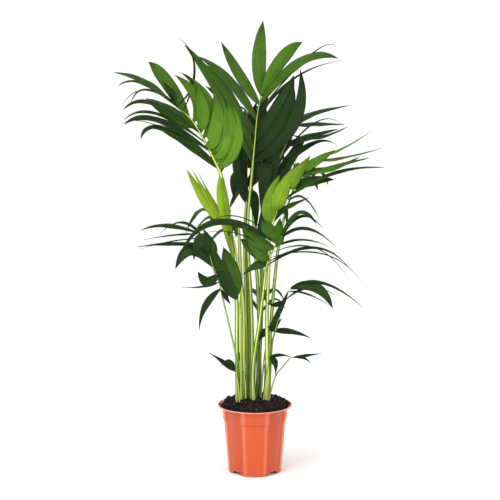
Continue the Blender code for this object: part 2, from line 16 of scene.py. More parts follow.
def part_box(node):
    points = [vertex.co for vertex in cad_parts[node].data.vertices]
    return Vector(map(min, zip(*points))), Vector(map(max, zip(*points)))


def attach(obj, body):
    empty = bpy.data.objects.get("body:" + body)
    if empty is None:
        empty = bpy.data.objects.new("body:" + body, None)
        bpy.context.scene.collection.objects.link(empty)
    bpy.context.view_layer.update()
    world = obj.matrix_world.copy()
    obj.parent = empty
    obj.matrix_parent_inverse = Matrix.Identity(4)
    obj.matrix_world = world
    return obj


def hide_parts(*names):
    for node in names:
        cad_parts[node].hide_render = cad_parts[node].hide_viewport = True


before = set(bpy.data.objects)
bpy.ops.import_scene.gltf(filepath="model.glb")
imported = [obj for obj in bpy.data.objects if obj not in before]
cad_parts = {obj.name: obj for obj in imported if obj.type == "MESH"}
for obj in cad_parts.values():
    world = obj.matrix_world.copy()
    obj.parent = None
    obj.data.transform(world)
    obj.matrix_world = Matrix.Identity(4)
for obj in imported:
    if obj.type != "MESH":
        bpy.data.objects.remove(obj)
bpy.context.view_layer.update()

bl_info = {
    "name": "Potted kentia palm",
    "version": (1, 0, 0),
    "blender": (4, 5, 0),
    "location": "View3D > Sidebar > Palm",
    "description": "Builds the pot, the soil, the stalks, the blades and the studio of a potted palm",
    "category": "Object",
}

CM = 0.01
BODY = "root"
FRONT = (0, -1, 0)
UP = (0, 0, 1)
LIP_RADIUS, LIP_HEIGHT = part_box("pot")[1].xz
SOIL_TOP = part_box("soil")[1].z
SEED = 7                    # for the crumbs on the soil


class Leaflet(NamedTuple):
    """A leaflet: a point halfway, its tip, its width, its face's degrees from front to up, and its tone,
    which is partly the leaflet's age and partly painted light and shade.
    """
    middle: tuple
    tip: tuple
    width: float
    turn: float
    tone: float


class Frond(NamedTuple):
    """One frond, in centimetres from the pot's axis and above its lip. Its leaflets are rows for Leaflet."""
    name: str
    foot_radius: float
    neck_radius: float
    stalk: tuple
    rachis: tuple
    left: tuple
    right: tuple
    end: tuple
    stalk_tone: float
    facing: tuple = FRONT


FRONDS = (
    Frond("arching", 0.6, 0.45,
        ((-4.3, -1.2), (-4.5, -1.5, 14), (-4.6, -2, 27), (-5.7, -2.6, 39.5), (-7.2, -3, 48.5),
         (-8, -3.2, 57)),
        ((-10.5, -4, 63), (-12.5, -5, 67), (-15.5, -7, 72), (-20.5, -11, 76.5)),
        (((-7.9, -4.1, 49.5), (-5.3, -3.3, 37), 2.3, 8, 0.93),
         ((-17, -7, 67), (-24, -12, 70.5), 3, 45, 0.28), ((-22, -10, 70), (-27, -15, 67.5), 2.41, 50, 0.3),
         ((-23, -11, 72), (-30.5, -18.5, 71), 2.41, 50, 0.25),
         ((-26, -13, 71.5), (-31.5, -17, 70.2), 0.5, 60, 0.25),
         ((-23.5, -9.5, 73.5), (-31, -13.5, 72), 2.06, 60, 0.35),
         ((-24, -13, 76), (-30.5, -19.5, 74.5), 2.41, 50, 0.32),
         ((-20, -8, 73.5), (-26, -10.5, 77), 3.4, 20, 0.52),
         ((-24.5, -14, 79), (-29, -19, 75.5), 1.72, 65, 0.4),
         ((-26, -12.5, 80.5), (-32, -16, 80), 1.89, 60, 0.38),
         ((-26, -14, 79), (-31.3, -17, 75.2), 0.5, 60, 0.3)),
        (((-6.9, -4.3, 50), (-5.1, -3.5, 40.5), 1.7, 10, 0.84),
         ((-5, -4.5, 66), (-5.2, -5.5, 75), 3.8, 10, 0.74), ((-6.2, -5, 67), (-6.5, -6.5, 76), 3.8, 5, 0.7),
         ((-7.6, -5, 66), (-7.3, -6.3, 75.6), 3.6, 5, 0.74), ((-7.7, -5.5, 68), (-8, -7, 77), 3.6, 5, 0.66),
         ((-9.2, -6, 70), (-10, -8, 78.5), 3.4, 10, 0.66), ((-9.9, -6, 68), (-9.4, -8, 77.2), 3.6, 10, 0.7),
         ((-11, -7, 75.5), (-17.5, -10, 83), 2.6, 20, 0.6),
         ((-12.5, -7.5, 75.5), (-15, -9.5, 81), 2.6, 15, 0.58),
         ((-12.6, -7.6, 73), (-13.8, -10, 80.5), 3.4, 15, 0.66),
         ((-14, -8.5, 77), (-19, -12.5, 82.5), 2.8, 15, 0.6),
         ((-21, -11.5, 81), (-25, -14, 85.5), 3.2, 15, 0.52),
         ((-14.5, -9, 84.5), (-18.2, -10, 91.3), 0.6, 20, 0.12),
         ((-15, -9.5, 80.5), (-18.5, -10.5, 83.2), 0.5, 20, 0.1),
         ((-19.5, -12, 78), (-22, -15, 81), 1.8, 20, 0.25)),
        ((-25.5, -15.5, 81), (-32.5, -21, 83), 2.6, 50, 0.4), 0.62),
    Frond("crown", 0.6, 0.33,
        ((-1, 0), (-0.7, 0.3, 14), (-1, 0.6, 26.5), (-1.7, 1, 39), (-1.7, 1.5, 48), (-0.7, 2, 59)),
        ((0, 2.5, 66.5), (0.5, 3, 72), (1.5, 3.5, 78)),
        (((-9, 8.5, 78.5), (-18, 13, 90.5), 2.7, 20, 0.42),
         ((-7, 7.5, 78.5), (-15.5, 11.5, 87), 2.6, 30, 0.42),
         ((-5.5, 6.5, 74.5), (-12.5, 10, 80), 2.6, 20, 0.3),
         ((-6.5, 7, 81.5), (-14.5, 11, 87.5), 2.5, 30, 0.4), ((-4, 6, 83), (-8.5, 8, 91), 2.7, 15, 0.44)),
        (((9.5, -1, 71), (11, -1.5, 84), 3.2, 20, 0.15), ((6.5, 1, 71), (9.5, -1, 80), 3.8, 15, 0.18),
         ((6, 1, 74.5), (9.5, -1, 82.5), 3.8, 20, 0.2), ((4.5, 2, 68.5), (6, 1, 75), 3.6, 15, 0.16),
         ((3.7, 2.4, 71.5), (6.5, 1, 79), 3.6, 15, 0.22), ((9, -0.5, 81.5), (20.5, -7, 86), 1.12, 50, 0.06),
         ((13.5, -2, 87.5), (19.6, -5, 89.2), 0.5, 50, 0.2), ((11, -1.5, 86), (20, -6, 86.5), 3, 40, 0.44),
         ((6.5, 1, 86.5), (11.5, -2, 90.5), 3.3, 15, 0.54)),
        ((1, 4, 87), (2, 4, 96), 3.6, 5, 0.48), 0.5),
    Frond("shaded", 0.5, 0.35,
        ((0.3, 2), (1.3, 2.5, 13.5), (1.8, 3, 26), (1.8, 4, 39), (1.9, 4.5, 47.5)),
        ((3.5, 5, 54), (5.5, 6, 60), (8.5, 7, 66.5), (11.5, 8, 70.5)),
        (((2.4, 2.2, 60), (1.6, 0.5, 47.5), 3.6, 10, 0.12), ((4.6, 4, 62), (6, 3, 70), 3.4, 15, 0.14),
         ((1.6, 3, 43), (1, 2, 36.5), 2.6, 10, 0.14), ((3.5, 12.5, 60), (4, 15, 69), 3.2, 10, 0.1),
         ((4.5, 13, 63), (6.5, 15, 73), 3.6, 15, 0.14)),
        (((6.5, 6, 57), (10.5, 7, 66), 3.2, 20, 0.2), ((8, 6.5, 60.5), (13, 8, 67.5), 3, 25, 0.2),
         ((14.5, 10.5, 65.5), (21.5, 16.5, 64.5), 1.98, 60, 0.12),
         ((15.5, 8, 71), (23, 12, 69.5), 0.5, 60, 0.15), ((12.5, 8.5, 67), (21.5, 14.5, 69), 2.64, 60, 0.22),
         ((16, 12.5, 67), (24.5, 20.5, 69.5), 2.2, 65, 0.2),
         ((15.5, 12.5, 70.5), (23.5, 20, 70), 2.42, 60, 0.22)),
        ((14.5, 11.5, 73), (25, 19.5, 75), 2.2, 55, 0.3), 0.3),
    Frond("bright", 0.6, 0.36,
        ((2.5, -1.5), (3.2, -1.6, 8), (3, -1.8, 14), (3, -2.2, 22), (3.2, -2.6, 29.5), (3.5, -3, 37),
         (3.6, -3.4, 43.5)),
        ((5, -4, 48.5), (6.5, -4.5, 52), (9, -5.5, 56.5), (11.5, -6, 59.5), (15.5, -9, 63)),
        (((3.5, -5, 51), (6, -5, 58.5), 3.6, 10, 0.8), ((6, -6, 53), (9.5, -6, 60.5), 3.8, 5, 0.86),
         ((9, -6.3, 57), (13.4, -7, 63.2), 3.4, 10, 0.78),
         ((14, -8.8, 61.6), (19, -12.5, 64.8), 2.6, 30, 0.62)),
        (((7.2, -5, 50), (7.6, -7, 44.5), 1.8, 30, 0.22), ((9.5, -6, 51.5), (13, -8, 53), 1.76, 50, 0.3),
         ((18, -10, 59), (30, -18.5, 61), 2.2, 65, 0.34), ((13.5, -6, 57), (19, -8.5, 57.5), 2.6, 30, 0.35),
         ((19.5, -10, 61), (27, -14, 63), 2.2, 60, 0.5),
         ((18, -11, 60.5), (24.5, -17.5, 63.5), 2.64, 50, 0.5),
         ((20.5, -12.5, 63), (29.5, -18, 65.5), 1.98, 65, 0.6)),
        ((21, -14, 65.5), (27, -18, 69.5), 1.6, 60, 0.7), 0.7),
    Frond("inner", 0.5, 0.35,
        ((-2, 1.5), (-2, 2, 13.5), (-2.3, 2.6, 26), (-2.6, 3.6, 39), (-2.4, 4.2, 47.5)),
        ((-2, 7.5, 53), (-2, 9.5, 59), (-1, 10.5, 65)),
        (((-4, 8.5, 61), (-4, 9, 74), 3.6, 5, 0.1), ((-4.6, 8, 57), (-5.4, 8.5, 51.5), 3, 10, 0.12),
         ((-3, 9, 63), (-2.5, 10, 74.5), 3.8, 10, 0.12),
         ((-1.5, 10.5, 68.5), (0.5, 11.5, 76), 3.2, 10, 0.14)),
        (((-0.4, 6, 52), (0.4, 5.5, 44), 2.8, 10, 0.16), ((0, 9, 57.5), (1, 9.5, 62.5), 2.8, 20, 0.2),
         ((1, 10.5, 64.5), (4, 11, 73), 3.4, 10, 0.16)),
        ((0.5, 11.5, 70.5), (3.5, 12.5, 78), 3.2, 15, 0.2), 0.45),
    Frond("front", 0.55, 0.35,
        ((-0.2, -2), (-0.5, -2.4, 9.5), (1, -3.4, 21), (2.2, -4.5, 31), (2.6, -5, 35)),
        ((3.5, -6, 38), (5, -8, 41.5), (6.5, -10, 44)),
        (((0.5, -6.4, 36.4), (-3, -7, 34), 2.2, 20, 0.3), ((-0.5, -7, 40.5), (-3.5, -8.5, 43), 3, 20, 0.4),
         ((1, -7.5, 40), (-2.4, -9, 45.3), 3.4, 15, 0.45),
         ((-4, -10, 44.5), (-12.5, -13, 45), 0.55, 60, 0.2), ((0, -8.5, 43), (-3, -10, 47), 3.4, 20, 0.45),
         ((-9.5, -11, 47.5), (-18.5, -16, 38.5), 2, 40, 0.22),
         ((-4.5, -12, 49), (-12.5, -15, 46.5), 0.44, 60, 0.1),
         ((3.5, -10.5, 45.5), (1.5, -12, 48), 3.2, 20, 0.45)),
        (((14, -8, 41), (23, -11, 36), 1.21, 60, 0.22), ((11.5, -7, 40.5), (19.5, -8, 39.5), 0.99, 65, 0.12),
         ((16.5, -9, 39.5), (25.8, -12, 33), 0.5, 60, 0.15),
         ((14.5, -9, 41), (22.3, -12, 33.8), 0.5, 60, 0.1), ((11, -9, 43), (18, -12, 41.5), 0.99, 60, 0.14),
         ((5.5, -9.5, 43.5), (6, -11, 48.5), 3.2, 15, 0.45), ((12, -11, 46), (19, -14, 42), 1.32, 55, 0.26),
         ((11, -12, 49), (16, -15, 46.5), 1.21, 50, 0.3)),
        ((10.5, -13, 50), (14.5, -17, 47.5), 2.2, 50, 0.28), 0.5),
    Frond("left_low", 0.3, 0.2,
        ((-4.5, -3), (-4.7, -3.4, 12), (-6.2, -4.2, 20), (-8.1, -5, 28.5)),
        ((-9, -5.5, 32.5), (-10.5, -6, 36.5), (-12, -7, 42), (-14, -7.5, 44.5)),
        (((-12.3, -7, 26.2), (-13.7, -8, 20.4), 1.8, 30, 0.12),
         ((-12.9, -7, 31.2), (-17.8, -9, 31.2), 0.99, 55, 0.1),
         ((-11.7, -6.5, 32.4), (-14, -7, 34.8), 2.8, 30, 0.2),
         ((-15.4, -7.5, 40.4), (-19.4, -9, 35.8), 3, 25, 0.26), ((-13, -8, 43), (-15, -9, 38), 3, 20, 0.22),
         ((-21, -9, 42), (-28.5, -12, 41.5), 1.36, 50, 0.12),
         ((-20.5, -8.5, 42.5), (-27.8, -11, 40.8), 0.5, 55, 0.2),
         ((-20, -8, 44), (-27, -10, 43), 0.87, 60, 0.1)),
        (((-7, -5.5, 28), (-6, -6, 26.5), 1.2, 30, 0.1), ((-7.6, -6.2, 33), (-6.6, -7, 28.5), 2.2, 15, 0.2),
         ((-10.5, -6.5, 41), (-12.8, -7, 45.5), 2.4, 15, 0.28),
         ((-17.5, -7, 47), (-23, -8, 44.5), 1.12, 55, 0.2)),
        ((-21.5, -9, 46.5), (-27.5, -12, 45.5), 1.8, 60, 0.18), 0.35),
    Frond("young_right", 0.28, 0.18,
        ((3.6, 0.2), (4.2, -0.6, 14), (5.2, -1.4, 19.5), (6.6, -2.4, 24.5)),
        ((8, -4, 29), (9, -4.5, 30.5)),
        (((5, -3, 26), (3, -3.5, 26.5), 1.4, 30, 0.12), ((5, -3.5, 22.5), (3, -4.5, 20.5), 1.4, 30, 0.12)),
        (((13.5, -4, 30.5), (20, -5, 28.5), 0.8, 55, 0.12), ((13, -5, 29), (19, -7, 26), 0.7, 55, 0.1),
         ((15, -6, 30.8), (19, -9, 26), 2.6, 25, 0.28)),
        ((17, -5.5, 31.8), (26.5, -8, 26), 1.4, 60, 0.16), 0.2),
    Frond("broad", 0.35, 0.25,
        ((-3.5, -2.2), (-3.5, -2.6, 14.5), (-3.6, -3, 24)),
        ((-4.5, -3.1, 28.4),),
        (((-8, -5, 33.5), (-11.5, -6, 43), 3.2, 10, 0.26),),
        (),
        ((-5.8, -3, 34), (-7.8, -4, 40.5), 4.2, 5, 0.42), 0.55),
    Frond("spear", 0.35, 0.22,
        ((-3, -0.5), (-2.8, -0.5, 14), (-3, -0.5, 26.5), (-4.5, -0.8, 38), (-6.1, -1, 44.5)),
        ((-7.5, -1, 46.5),),
        (((-11.5, 0, 50.5), (-17, 0.6, 59.5), 2.7, 10, 1),),
        (((-10.5, -2.4, 52), (-14, -3, 59), 0.9, 10, 0.9),),
        ((-11, -1.2, 51.5), (-15.5, -1.4, 59.5), 1.8, 10, 0.98), 0.95),
    Frond("low_left", 0.22, 0.15,
        ((-3.7, -4), (-4.1, -4.3, 5), (-4.6, -4.5, 8.5)),
        ((-5.2, -4.6, 9.5),),
        (((-6.5, -5, 12), (-8.5, -6, 11), 1.6, 40, 0.1),),
        (),
        ((-8, -5, 12), (-11.5, -6, 14.5), 1.4, 40, 0.06), 0.5),
    Frond("low_right", 0.22, 0.15,
        ((2.8, -3), (5, -3.5, 7.5), (7, -4, 10.5), (8.6, -4.2, 12.5)),
        ((9.5, -4.5, 13),),
        (((13, -4.5, 13.5), (16.5, -5, 14), 0.96, 50, 0.12),),
        (),
        ((12, -5, 13), (14, -5.5, 11.5), 1, 50, 0.1), 0.3),
    Frond("low_front", 0.22, 0.15,
        ((1.8, -2.8), (2.8, -3.2, 7), (3.4, -3.5, 11.5)),
        ((3.6, -3.6, 12.5),),
        (),
        (((5, -4, 11.5), (5, -5, 8.5), 1.8, 30, 0.15),),
        ((6, -4, 13.5), (9.5, -5, 13), 1.2, 50, 0.12), 0.4),
    Frond("low_centre", 0.25, 0.18,
        ((1.3, 0.5), (2.3, 0.3, 11), (3.5, 0, 18)),
        ((4, 0, 19),),
        (((2, 0.5, 18), (0.5, 1, 15.5), 2, 30, 0.14),),
        (((9, -1.6, 19), (14, -3, 17.5), 1.8, 45, 0.12),),
        ((5, 1.2, 20), (6.8, 2.2, 21.5), 2, 15, 0.12), 0.35),
    Frond("rear", 0.55, 0.4,
        ((1.2, 3.9), (1.2, 4.4, 14), (0.8, 5.4, 28), (0, 7.2, 40), (-0.5, 9.5, 50)),
        ((-1, 13, 59), (-1, 18, 67), (-1, 24, 72), (-1.5, 29, 72.5)),
        (((-4, 13, 54), (-6.5, 15, 48.5), 2.6, 70, 0.35), ((-5.5, 18, 64), (-9, 22, 57), 2.8, 70, 0.4),
         ((-6, 23, 71), (-10, 28, 64), 2.8, 70, 0.42), ((-5.5, 29, 74), (-8.5, 35, 66), 2.6, 70, 0.4)),
        (((3.5, 13, 54), (8, 17, 46), 2.6, 70, 0.4), ((4.5, 18, 65), (8.5, 22.5, 59), 2.8, 70, 0.36),
         ((4, 23.5, 71.5), (8, 29, 65), 2.8, 70, 0.4), ((2, 29.5, 74), (5, 36, 66), 2.6, 70, 0.38)),
        ((-2, 34, 72), (-3, 39, 65), 2.6, 80, 0.4), 0.5, UP),
    Frond("rear_left", 0.5, 0.35,
        ((-1.6, 3.8), (-2.2, 4.6, 14), (-3.2, 6.4, 28), (-5, 9, 38)),
        ((-7, 12, 43), (-9.5, 16, 46), (-12, 20, 47)),
        (((-9, 10, 43), (-14, 9.5, 37), 2.6, 70, 0.35), ((-12.5, 14, 46), (-17, 15, 40), 2.6, 70, 0.4),
         ((-15, 20, 47), (-18.5, 22, 41), 2.4, 70, 0.38)),
        (((-5, 15, 45), (-5, 20, 40), 2.6, 70, 0.36), ((-7.5, 20, 48), (-8, 26, 42), 2.6, 70, 0.42),
         ((-11, 24, 48), (-12, 29, 42), 2.4, 70, 0.4)),
        ((-15, 24, 47), (-18, 28, 42), 2.4, 80, 0.4), 0.45, UP),
    Frond("rear_right", 0.5, 0.35,
        ((3.4, 3), (3.8, 4, 14), (4.8, 6, 28), (6.2, 9, 40), (7.5, 11, 46)),
        ((9.5, 14.5, 52), (11.5, 17.5, 55.5), (13, 20, 57)),
        (((5.5, 17, 54), (4, 22, 49), 2.6, 70, 0.4), ((9, 22.5, 57), (8.5, 28, 51), 2.6, 70, 0.38),
         ((11.5, 25, 59.5), (11, 31, 54), 2.4, 70, 0.42)),
        (((12.5, 12, 51.5), (16.5, 12, 46.5), 2.4, 70, 0.36),
         ((14.5, 16, 56.5), (16.5, 17, 53), 2.6, 70, 0.4), ((17, 20, 58), (19.5, 22, 54), 2.4, 70, 0.38)),
        ((15, 24, 59), (16, 28.5, 54), 2.4, 80, 0.4), 0.45, UP),
    Frond("rear_low", 0.3, 0.2,
        ((-0.2, 5), (0.1, 6.6, 10), (1, 8.4, 18)),
        ((1.5, 10.5, 22), (2, 14, 24.5)),
        (((-1.5, 12, 25), (-5, 14, 22), 2, 70, 0.3), ((-1, 16, 27), (-4, 20, 23), 2, 70, 0.34)),
        (((5, 12, 25), (8, 14, 22), 2, 70, 0.32), ((5, 16.5, 27), (8, 20, 23), 2, 70, 0.3)),
        ((2.5, 18, 26.5), (3, 22.5, 22), 2, 80, 0.3), 0.35, UP),
)


# How wide a leaflet is along its length, as a share of its widest: a broad one, and a slender one
BROAD_OUTLINE = ((0, 0.2), (0.03, 0.34), (0.1, 0.6), (0.2, 0.83), (0.32, 0.96), (0.45, 1), (0.58, 0.97),
                 (0.7, 0.84), (0.8, 0.66), (0.88, 0.45), (0.94, 0.24), (0.98, 0.09), (1, 0.02))
SLENDER_OUTLINE = ((0, 0.2), (0.04, 0.32), (0.14, 0.7), (0.26, 0.96), (0.38, 1), (0.5, 0.88), (0.62, 0.64),
                   (0.74, 0.4), (0.86, 0.2), (0.94, 0.11), (1, 0.03))
SLENDER_WIDTH, BROAD_WIDTH = 1.4, 3     # centimetres: a leaflet between them has an outline between the two
LEAFLET_STEPS = 26          # divisions along a leaflet
LEAFLET_STRIPS = 8          # divisions across a leaflet
STALK_SIDES = 12
STALK_STEPS = 44
STUB_STEPS = 16
RACHIS_STEPS = 5            # divisions of the rachis over half the distance between two leaflets
FOOT_DEPTH = 0.02           # how far a stalk goes into the soil
FOOT_SWELL = 0.12           # how much thicker a stalk is where it leaves the soil
STALK_GROOVE, RACHIS_GROOVE = 0.22, 0.3     # depth as a share of the radius
RACHIS_TAPER = (0.92, 0.3)  # radius at both ends of the rachis, as a share of the stalk's neck
STUB_TAPER = (1.2, 0.75)    # radius at the foot and the top of an old stalk, as a share of its radius
STUB_CAP = 0.45             # radius of its rounded end, as a share of that at the top
STUB_BOW = 0.004            # how far it bows out to the right


def mix(start, end, share):
    return start + (end - start) * share


def smooth_step(low, high, value):
    share = min(max((value - low) / (high - low), 0), 1)
    return share * share * (3 - 2 * share)


def curve_at(points, place):
    """A point on the smooth curve through some points; place counts them, so 1.5 is between 1 and 2."""
    index = min(int(place), len(points) - 2)
    share = place - index
    before = points[index - 1] if index else 2 * points[0] - points[1]
    start, end = points[index], points[index + 1]
    after = points[index + 2] if index + 2 < len(points) else 2 * end - start
    leave, arrive = (end - before) / 2, (after - start) / 2
    return ((2 * share ** 3 - 3 * share ** 2 + 1) * start + (share ** 3 - 2 * share ** 2 + share) * leave
            + (3 * share ** 2 - 2 * share ** 3) * end + (share ** 3 - share ** 2) * arrive)


def curve_direction(points, place, step=0.01):
    low, high = max(place - step, 0), min(place + step, len(points) - 1)
    return (curve_at(points, high) - curve_at(points, low)).normalized()


def read_outline(corners, share):
    """Width at a share of the length, as a share of the widest."""
    for (low, start), (high, end) in zip(corners, corners[1:]):
        if share <= high:
            return mix(start, end, (share - low) / (high - low))
    return corners[-1][1]


def in_place(point):
    """A point of the frond tables in metres; a foot has no height and goes into the soil."""
    height = LIP_HEIGHT + point[2] * CM if len(point) == 3 else SOIL_TOP - FOOT_DEPTH
    return Vector((point[0] * CM, point[1] * CM, height))


def turn_outwards(bm, first=0):
    """Point the faces of closed shells outwards, from a face's number on."""
    bm.normal_update()
    bm.faces.ensure_lookup_table()
    bmesh.ops.recalc_face_normals(bm, faces=bm.faces[first:])


def add_object(name, bm):
    """Turn a finished bmesh into an object in the scene."""
    mesh = bpy.data.meshes.new(name)
    bm.to_mesh(mesh)
    bm.free()
    thing = bpy.data.objects.new(name, mesh)
    bpy.context.scene.collection.objects.link(thing)
    return thing


def make_piece(name, bm, materials, slot, *nodes):
    """Turn a finished bmesh into a piece that rides on the body and stands for some CAD nodes."""
    piece = add_object(name, bm)
    piece.data.shade_smooth()
    for material in materials:
        piece.data.materials.append(material)
    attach(piece, BODY)
    if nodes:
        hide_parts(*nodes)
    return piece


def leaf_layers(bm):
    """Point values that the materials read: along and across a leaflet or stalk, and its tone."""
    return [bm.verts.layers.float.new(name) for name in ("along", "across", "tone")]


def round_section(centre, along, facing, radius, groove):
    """Corners of a section across a stalk, with a groove down the side that faces forwards."""
    across = along.cross(facing).normalized()
    depth = across.cross(along)
    corners = []
    for corner in range(STALK_SIDES):
        angle = math.tau * corner / STALK_SIDES
        reach = 1 - groove * max(math.sin(angle), 0) ** 6
        corners.append(centre + radius * (math.cos(angle) * across + reach * math.sin(angle) * depth))
    return corners


def sweep(bm, layers, sections, values):
    """Extrude a polygon through a row of sections into a closed tube, with (along, tone) for each one."""
    ring = bmesh.ops.create_circle(bm, cap_ends=True, segments=STALK_SIDES, radius=1)["verts"]
    face = ring[0].link_faces[0]
    for number, (section, (along, tone)) in enumerate(zip(sections, values)):
        if number:
            face = bmesh.ops.extrude_discrete_faces(bm, faces=[face])["faces"][0]
        for corner, (vert, place) in enumerate(zip(face.verts, section)):
            vert.co = place
            across = math.cos(math.tau * corner / STALK_SIDES)
            vert[layers[0]], vert[layers[1]], vert[layers[2]] = along, across, tone
    foot = {edge for vert in ring for edge in vert.link_edges if edge.is_boundary}
    bmesh.ops.holes_fill(bm, edges=list(foot), sides=STALK_SIDES)


def grow_leaflet(bm, layers, base, leaflet, facing, side, shape, chance):
    """Bend a fresh grid into one leaflet: folded along its rib, pleated, waved and slightly twisted."""
    middle, tip = in_place(leaflet.middle), in_place(leaflet.tip)
    bend = 2 * middle - (base + tip) / 2
    turn = math.radians(leaflet.turn)
    look = math.cos(turn) * facing + math.sin(turn) * Vector(UP)
    twist = math.radians(chance.uniform(-shape.twist, shape.twist))
    wave_start = chance.uniform(0, math.tau)
    half = leaflet.width * CM / 2
    broad = smooth_step(SLENDER_WIDTH, BROAD_WIDTH, leaflet.width)
    first, room = len(bm.faces), bm.calc_volume(signed=True)
    grid = bmesh.ops.create_grid(bm, x_segments=LEAFLET_STRIPS, y_segments=LEAFLET_STEPS, size=1)["verts"]
    for vert in grid:
        across, share = vert.co.x, (vert.co.y + 1) / 2
        centre = (1 - share) ** 2 * base + 2 * share * (1 - share) * bend + share ** 2 * tip
        ahead = ((1 - share) * (bend - base) + share * (tip - bend)).normalized()
        normal = (look - ahead * look.dot(ahead)).normalized()
        wide = side * normal.cross(ahead)
        roll = twist * share
        wide, normal = (math.cos(roll) * wide + math.sin(roll) * normal,
                        math.cos(roll) * normal - math.sin(roll) * wide)
        reach = half * mix(read_outline(SLENDER_OUTLINE, share), read_outline(BROAD_OUTLINE, share), broad)
        fold = (0.5 - abs(across)) * math.tan(math.radians(shape.fold))
        pleat = shape.pleat * math.cos(abs(across) * 3 * math.pi)
        wave = shape.wave * across * math.sin(wave_start + share * 2.5 * math.tau)
        vert.co = centre + across * reach * wide + reach * (fold + pleat + wave) * normal
        vert[layers[0]], vert[layers[1]], vert[layers[2]] = share, across, leaflet.tone
    faces = list({face for vert in grid for face in vert.link_faces})
    bmesh.ops.solidify(bm, geom=faces, thickness=shape.thickness)
    turn_outwards(bm, first)
    if bm.calc_volume(signed=True) < room:
        bmesh.ops.reverse_faces(bm, faces=bm.faces[first:])


def make_blade(frond, materials, shape):
    """The rachis, and a leaflet at each of its places on the left, on the right and at its end."""
    chance = random.Random(frond.name)
    facing = Vector(frond.facing)
    points = [in_place(point) for point in frond.stalk + frond.rachis]
    neck, end = len(frond.stalk) - 1, len(points) - 1
    slots = max(len(frond.left), len(frond.right), 1)
    bm = bmesh.new()
    layers = leaf_layers(bm)
    steps = 2 * slots * RACHIS_STEPS
    sections = []
    for number in range(steps + 1):
        place = mix(neck, end, number / steps)
        radius = frond.neck_radius * CM * mix(*RACHIS_TAPER, number / steps)
        sections.append(round_section(curve_at(points, place), curve_direction(points, place), facing, radius,
                                      RACHIS_GROOVE))
    sweep(bm, layers, sections, [(0.5, frond.stalk_tone)] * len(sections))
    turn_outwards(bm)
    for face in bm.faces:
        face.material_index = 1
    rachis_faces = len(bm.faces)
    for leaflets, side in ((frond.right, 1), (frond.left, -1)):
        for index, row in enumerate(leaflets):
            share = (index * slots // len(leaflets) + 0.75) / slots
            base = curve_at(points, mix(neck, end, share))
            grow_leaflet(bm, layers, base, Leaflet(*row), facing, side, shape, chance)
    grow_leaflet(bm, layers, points[-1], Leaflet(*frond.end), facing, -1, shape, chance)
    for face in bm.faces[rachis_faces:]:
        face.material_index = 0
    slot = "spear" if frond.name == "spear" else "leaf"
    make_piece(f"{frond.name}_fan", bm, materials, slot, f"{frond.name}_blade")


def make_stalk(frond, material):
    """A stalk from its foot in the soil to the neck where its blade begins, swollen and channelled."""
    points = [in_place(point) for point in frond.stalk + frond.rachis]
    neck = len(frond.stalk) - 1
    bm = bmesh.new()
    layers = leaf_layers(bm)
    sections, values = [], []
    for number in range(STALK_STEPS + 1):
        share = number / STALK_STEPS
        centre, along = curve_at(points, share * neck), curve_direction(points, share * neck)
        radius = CM * mix(frond.foot_radius, frond.neck_radius, share)
        radius *= 1 + FOOT_SWELL * (1 - smooth_step(-0.01, 0.05, centre.z - SOIL_TOP))
        groove = STALK_GROOVE * smooth_step(0.1, 0.5, share)
        sections.append(round_section(centre, along, Vector(FRONT), radius, groove))
        values.append((share, frond.stalk_tone))
    sweep(bm, layers, sections, values)
    turn_outwards(bm)
    make_piece(f"{frond.name}_stem", bm, [material], "stalk", f"{frond.name}_stalk")


# Old stalks without a blade, in centimetres: foot, top, radius, tone
STUBS = (((-2.6, -1.8), (-2.9, -2.2, 9), 0.32, 0.5), ((0.3, 1), (0.5, 1.3, 15), 0.5, 0.08),
         ((-0.9, 1.2), (-1.2, 1.8, 11), 0.45, 0.2), ((1.9, 1.4), (2.6, 1.6, 10), 0.4, 0.3),
         ((-3.2, 0.8), (-3.9, 1.2, 13), 0.4, 0.15), ((-1.4, 0.6), (-2.2, 1.4, 40), 0.34, 0.2),
         ((1, 1.4), (1.2, 1.6, 44), 0.32, 0.12), ((-3.1, 0.6), (-4.2, 0.9, 46), 0.5, 0.6))


def make_stubs(material):
    """Old stalks cut off above the soil, with a rounded end."""
    bm = bmesh.new()
    layers = leaf_layers(bm)
    for foot, top, radius, tone in STUBS:
        sections, values = [], []
        for number in range(STUB_STEPS + 1):
            share = number / STUB_STEPS
            centre = mix(in_place(foot), in_place(top), share)
            centre.x += STUB_BOW * math.sin(3 * share)
            reach = CM * radius * mix(*STUB_TAPER, share) * (STUB_CAP if number == STUB_STEPS else 1)
            sections.append(round_section(centre, Vector(UP), Vector(FRONT), reach, 0))
            values.append((share, tone))
        sweep(bm, layers, sections, values)
    turn_outwards(bm)
    make_piece("old_stubs", bm, [material], "stalk")


POT_STEPS = 192             # divisions round the pot
SOIL_STEPS = 128            # divisions round the soil
SOIL_RINGS = 34             # divisions from the middle of the heap out to the wall
PANELS = 4
PANEL_HALF_ANGLE = 22.5     # degrees
PANEL_EDGE = 7              # degrees over which a panel's side rounds off
NOTCH_HALF_ANGLE = 14       # degrees, for the drain notches in the foot
NOTCH_EDGE = 3
COLLAR_GROOVE = 0.0012      # depth of the groove under the collar
COLLAR_FLARE = 0.0025       # how much the collar widens over its height
FLOOR_LOW, FLOOR_HIGH = 0.009, 0.011    # the two faces of the pot's raised floor
NECK_HEIGHT = LIP_HEIGHT - 0.007        # where the collar turns out into the lip
DRAIN_CIRCLE = 0.042        # radius of the circle that the drain holes are on
SOIL_CLEARANCE = 0.0004     # between the soil and the pot
CRUMB_SIZES = (0.0009, 0.0037)
GRIT_SIZES = (0.0006, 0.0013)
DENT = 0.22                 # most that a corner of a crumb moves, as a share of its size
PLAIN, OUTSIDE, INSIDE, FOOT, HEAP = range(5)   # kinds of point in a profile
OUTER, INNER = 0.06, 0.055  # radii of a wall's points while they are spun, apart so that none fall together


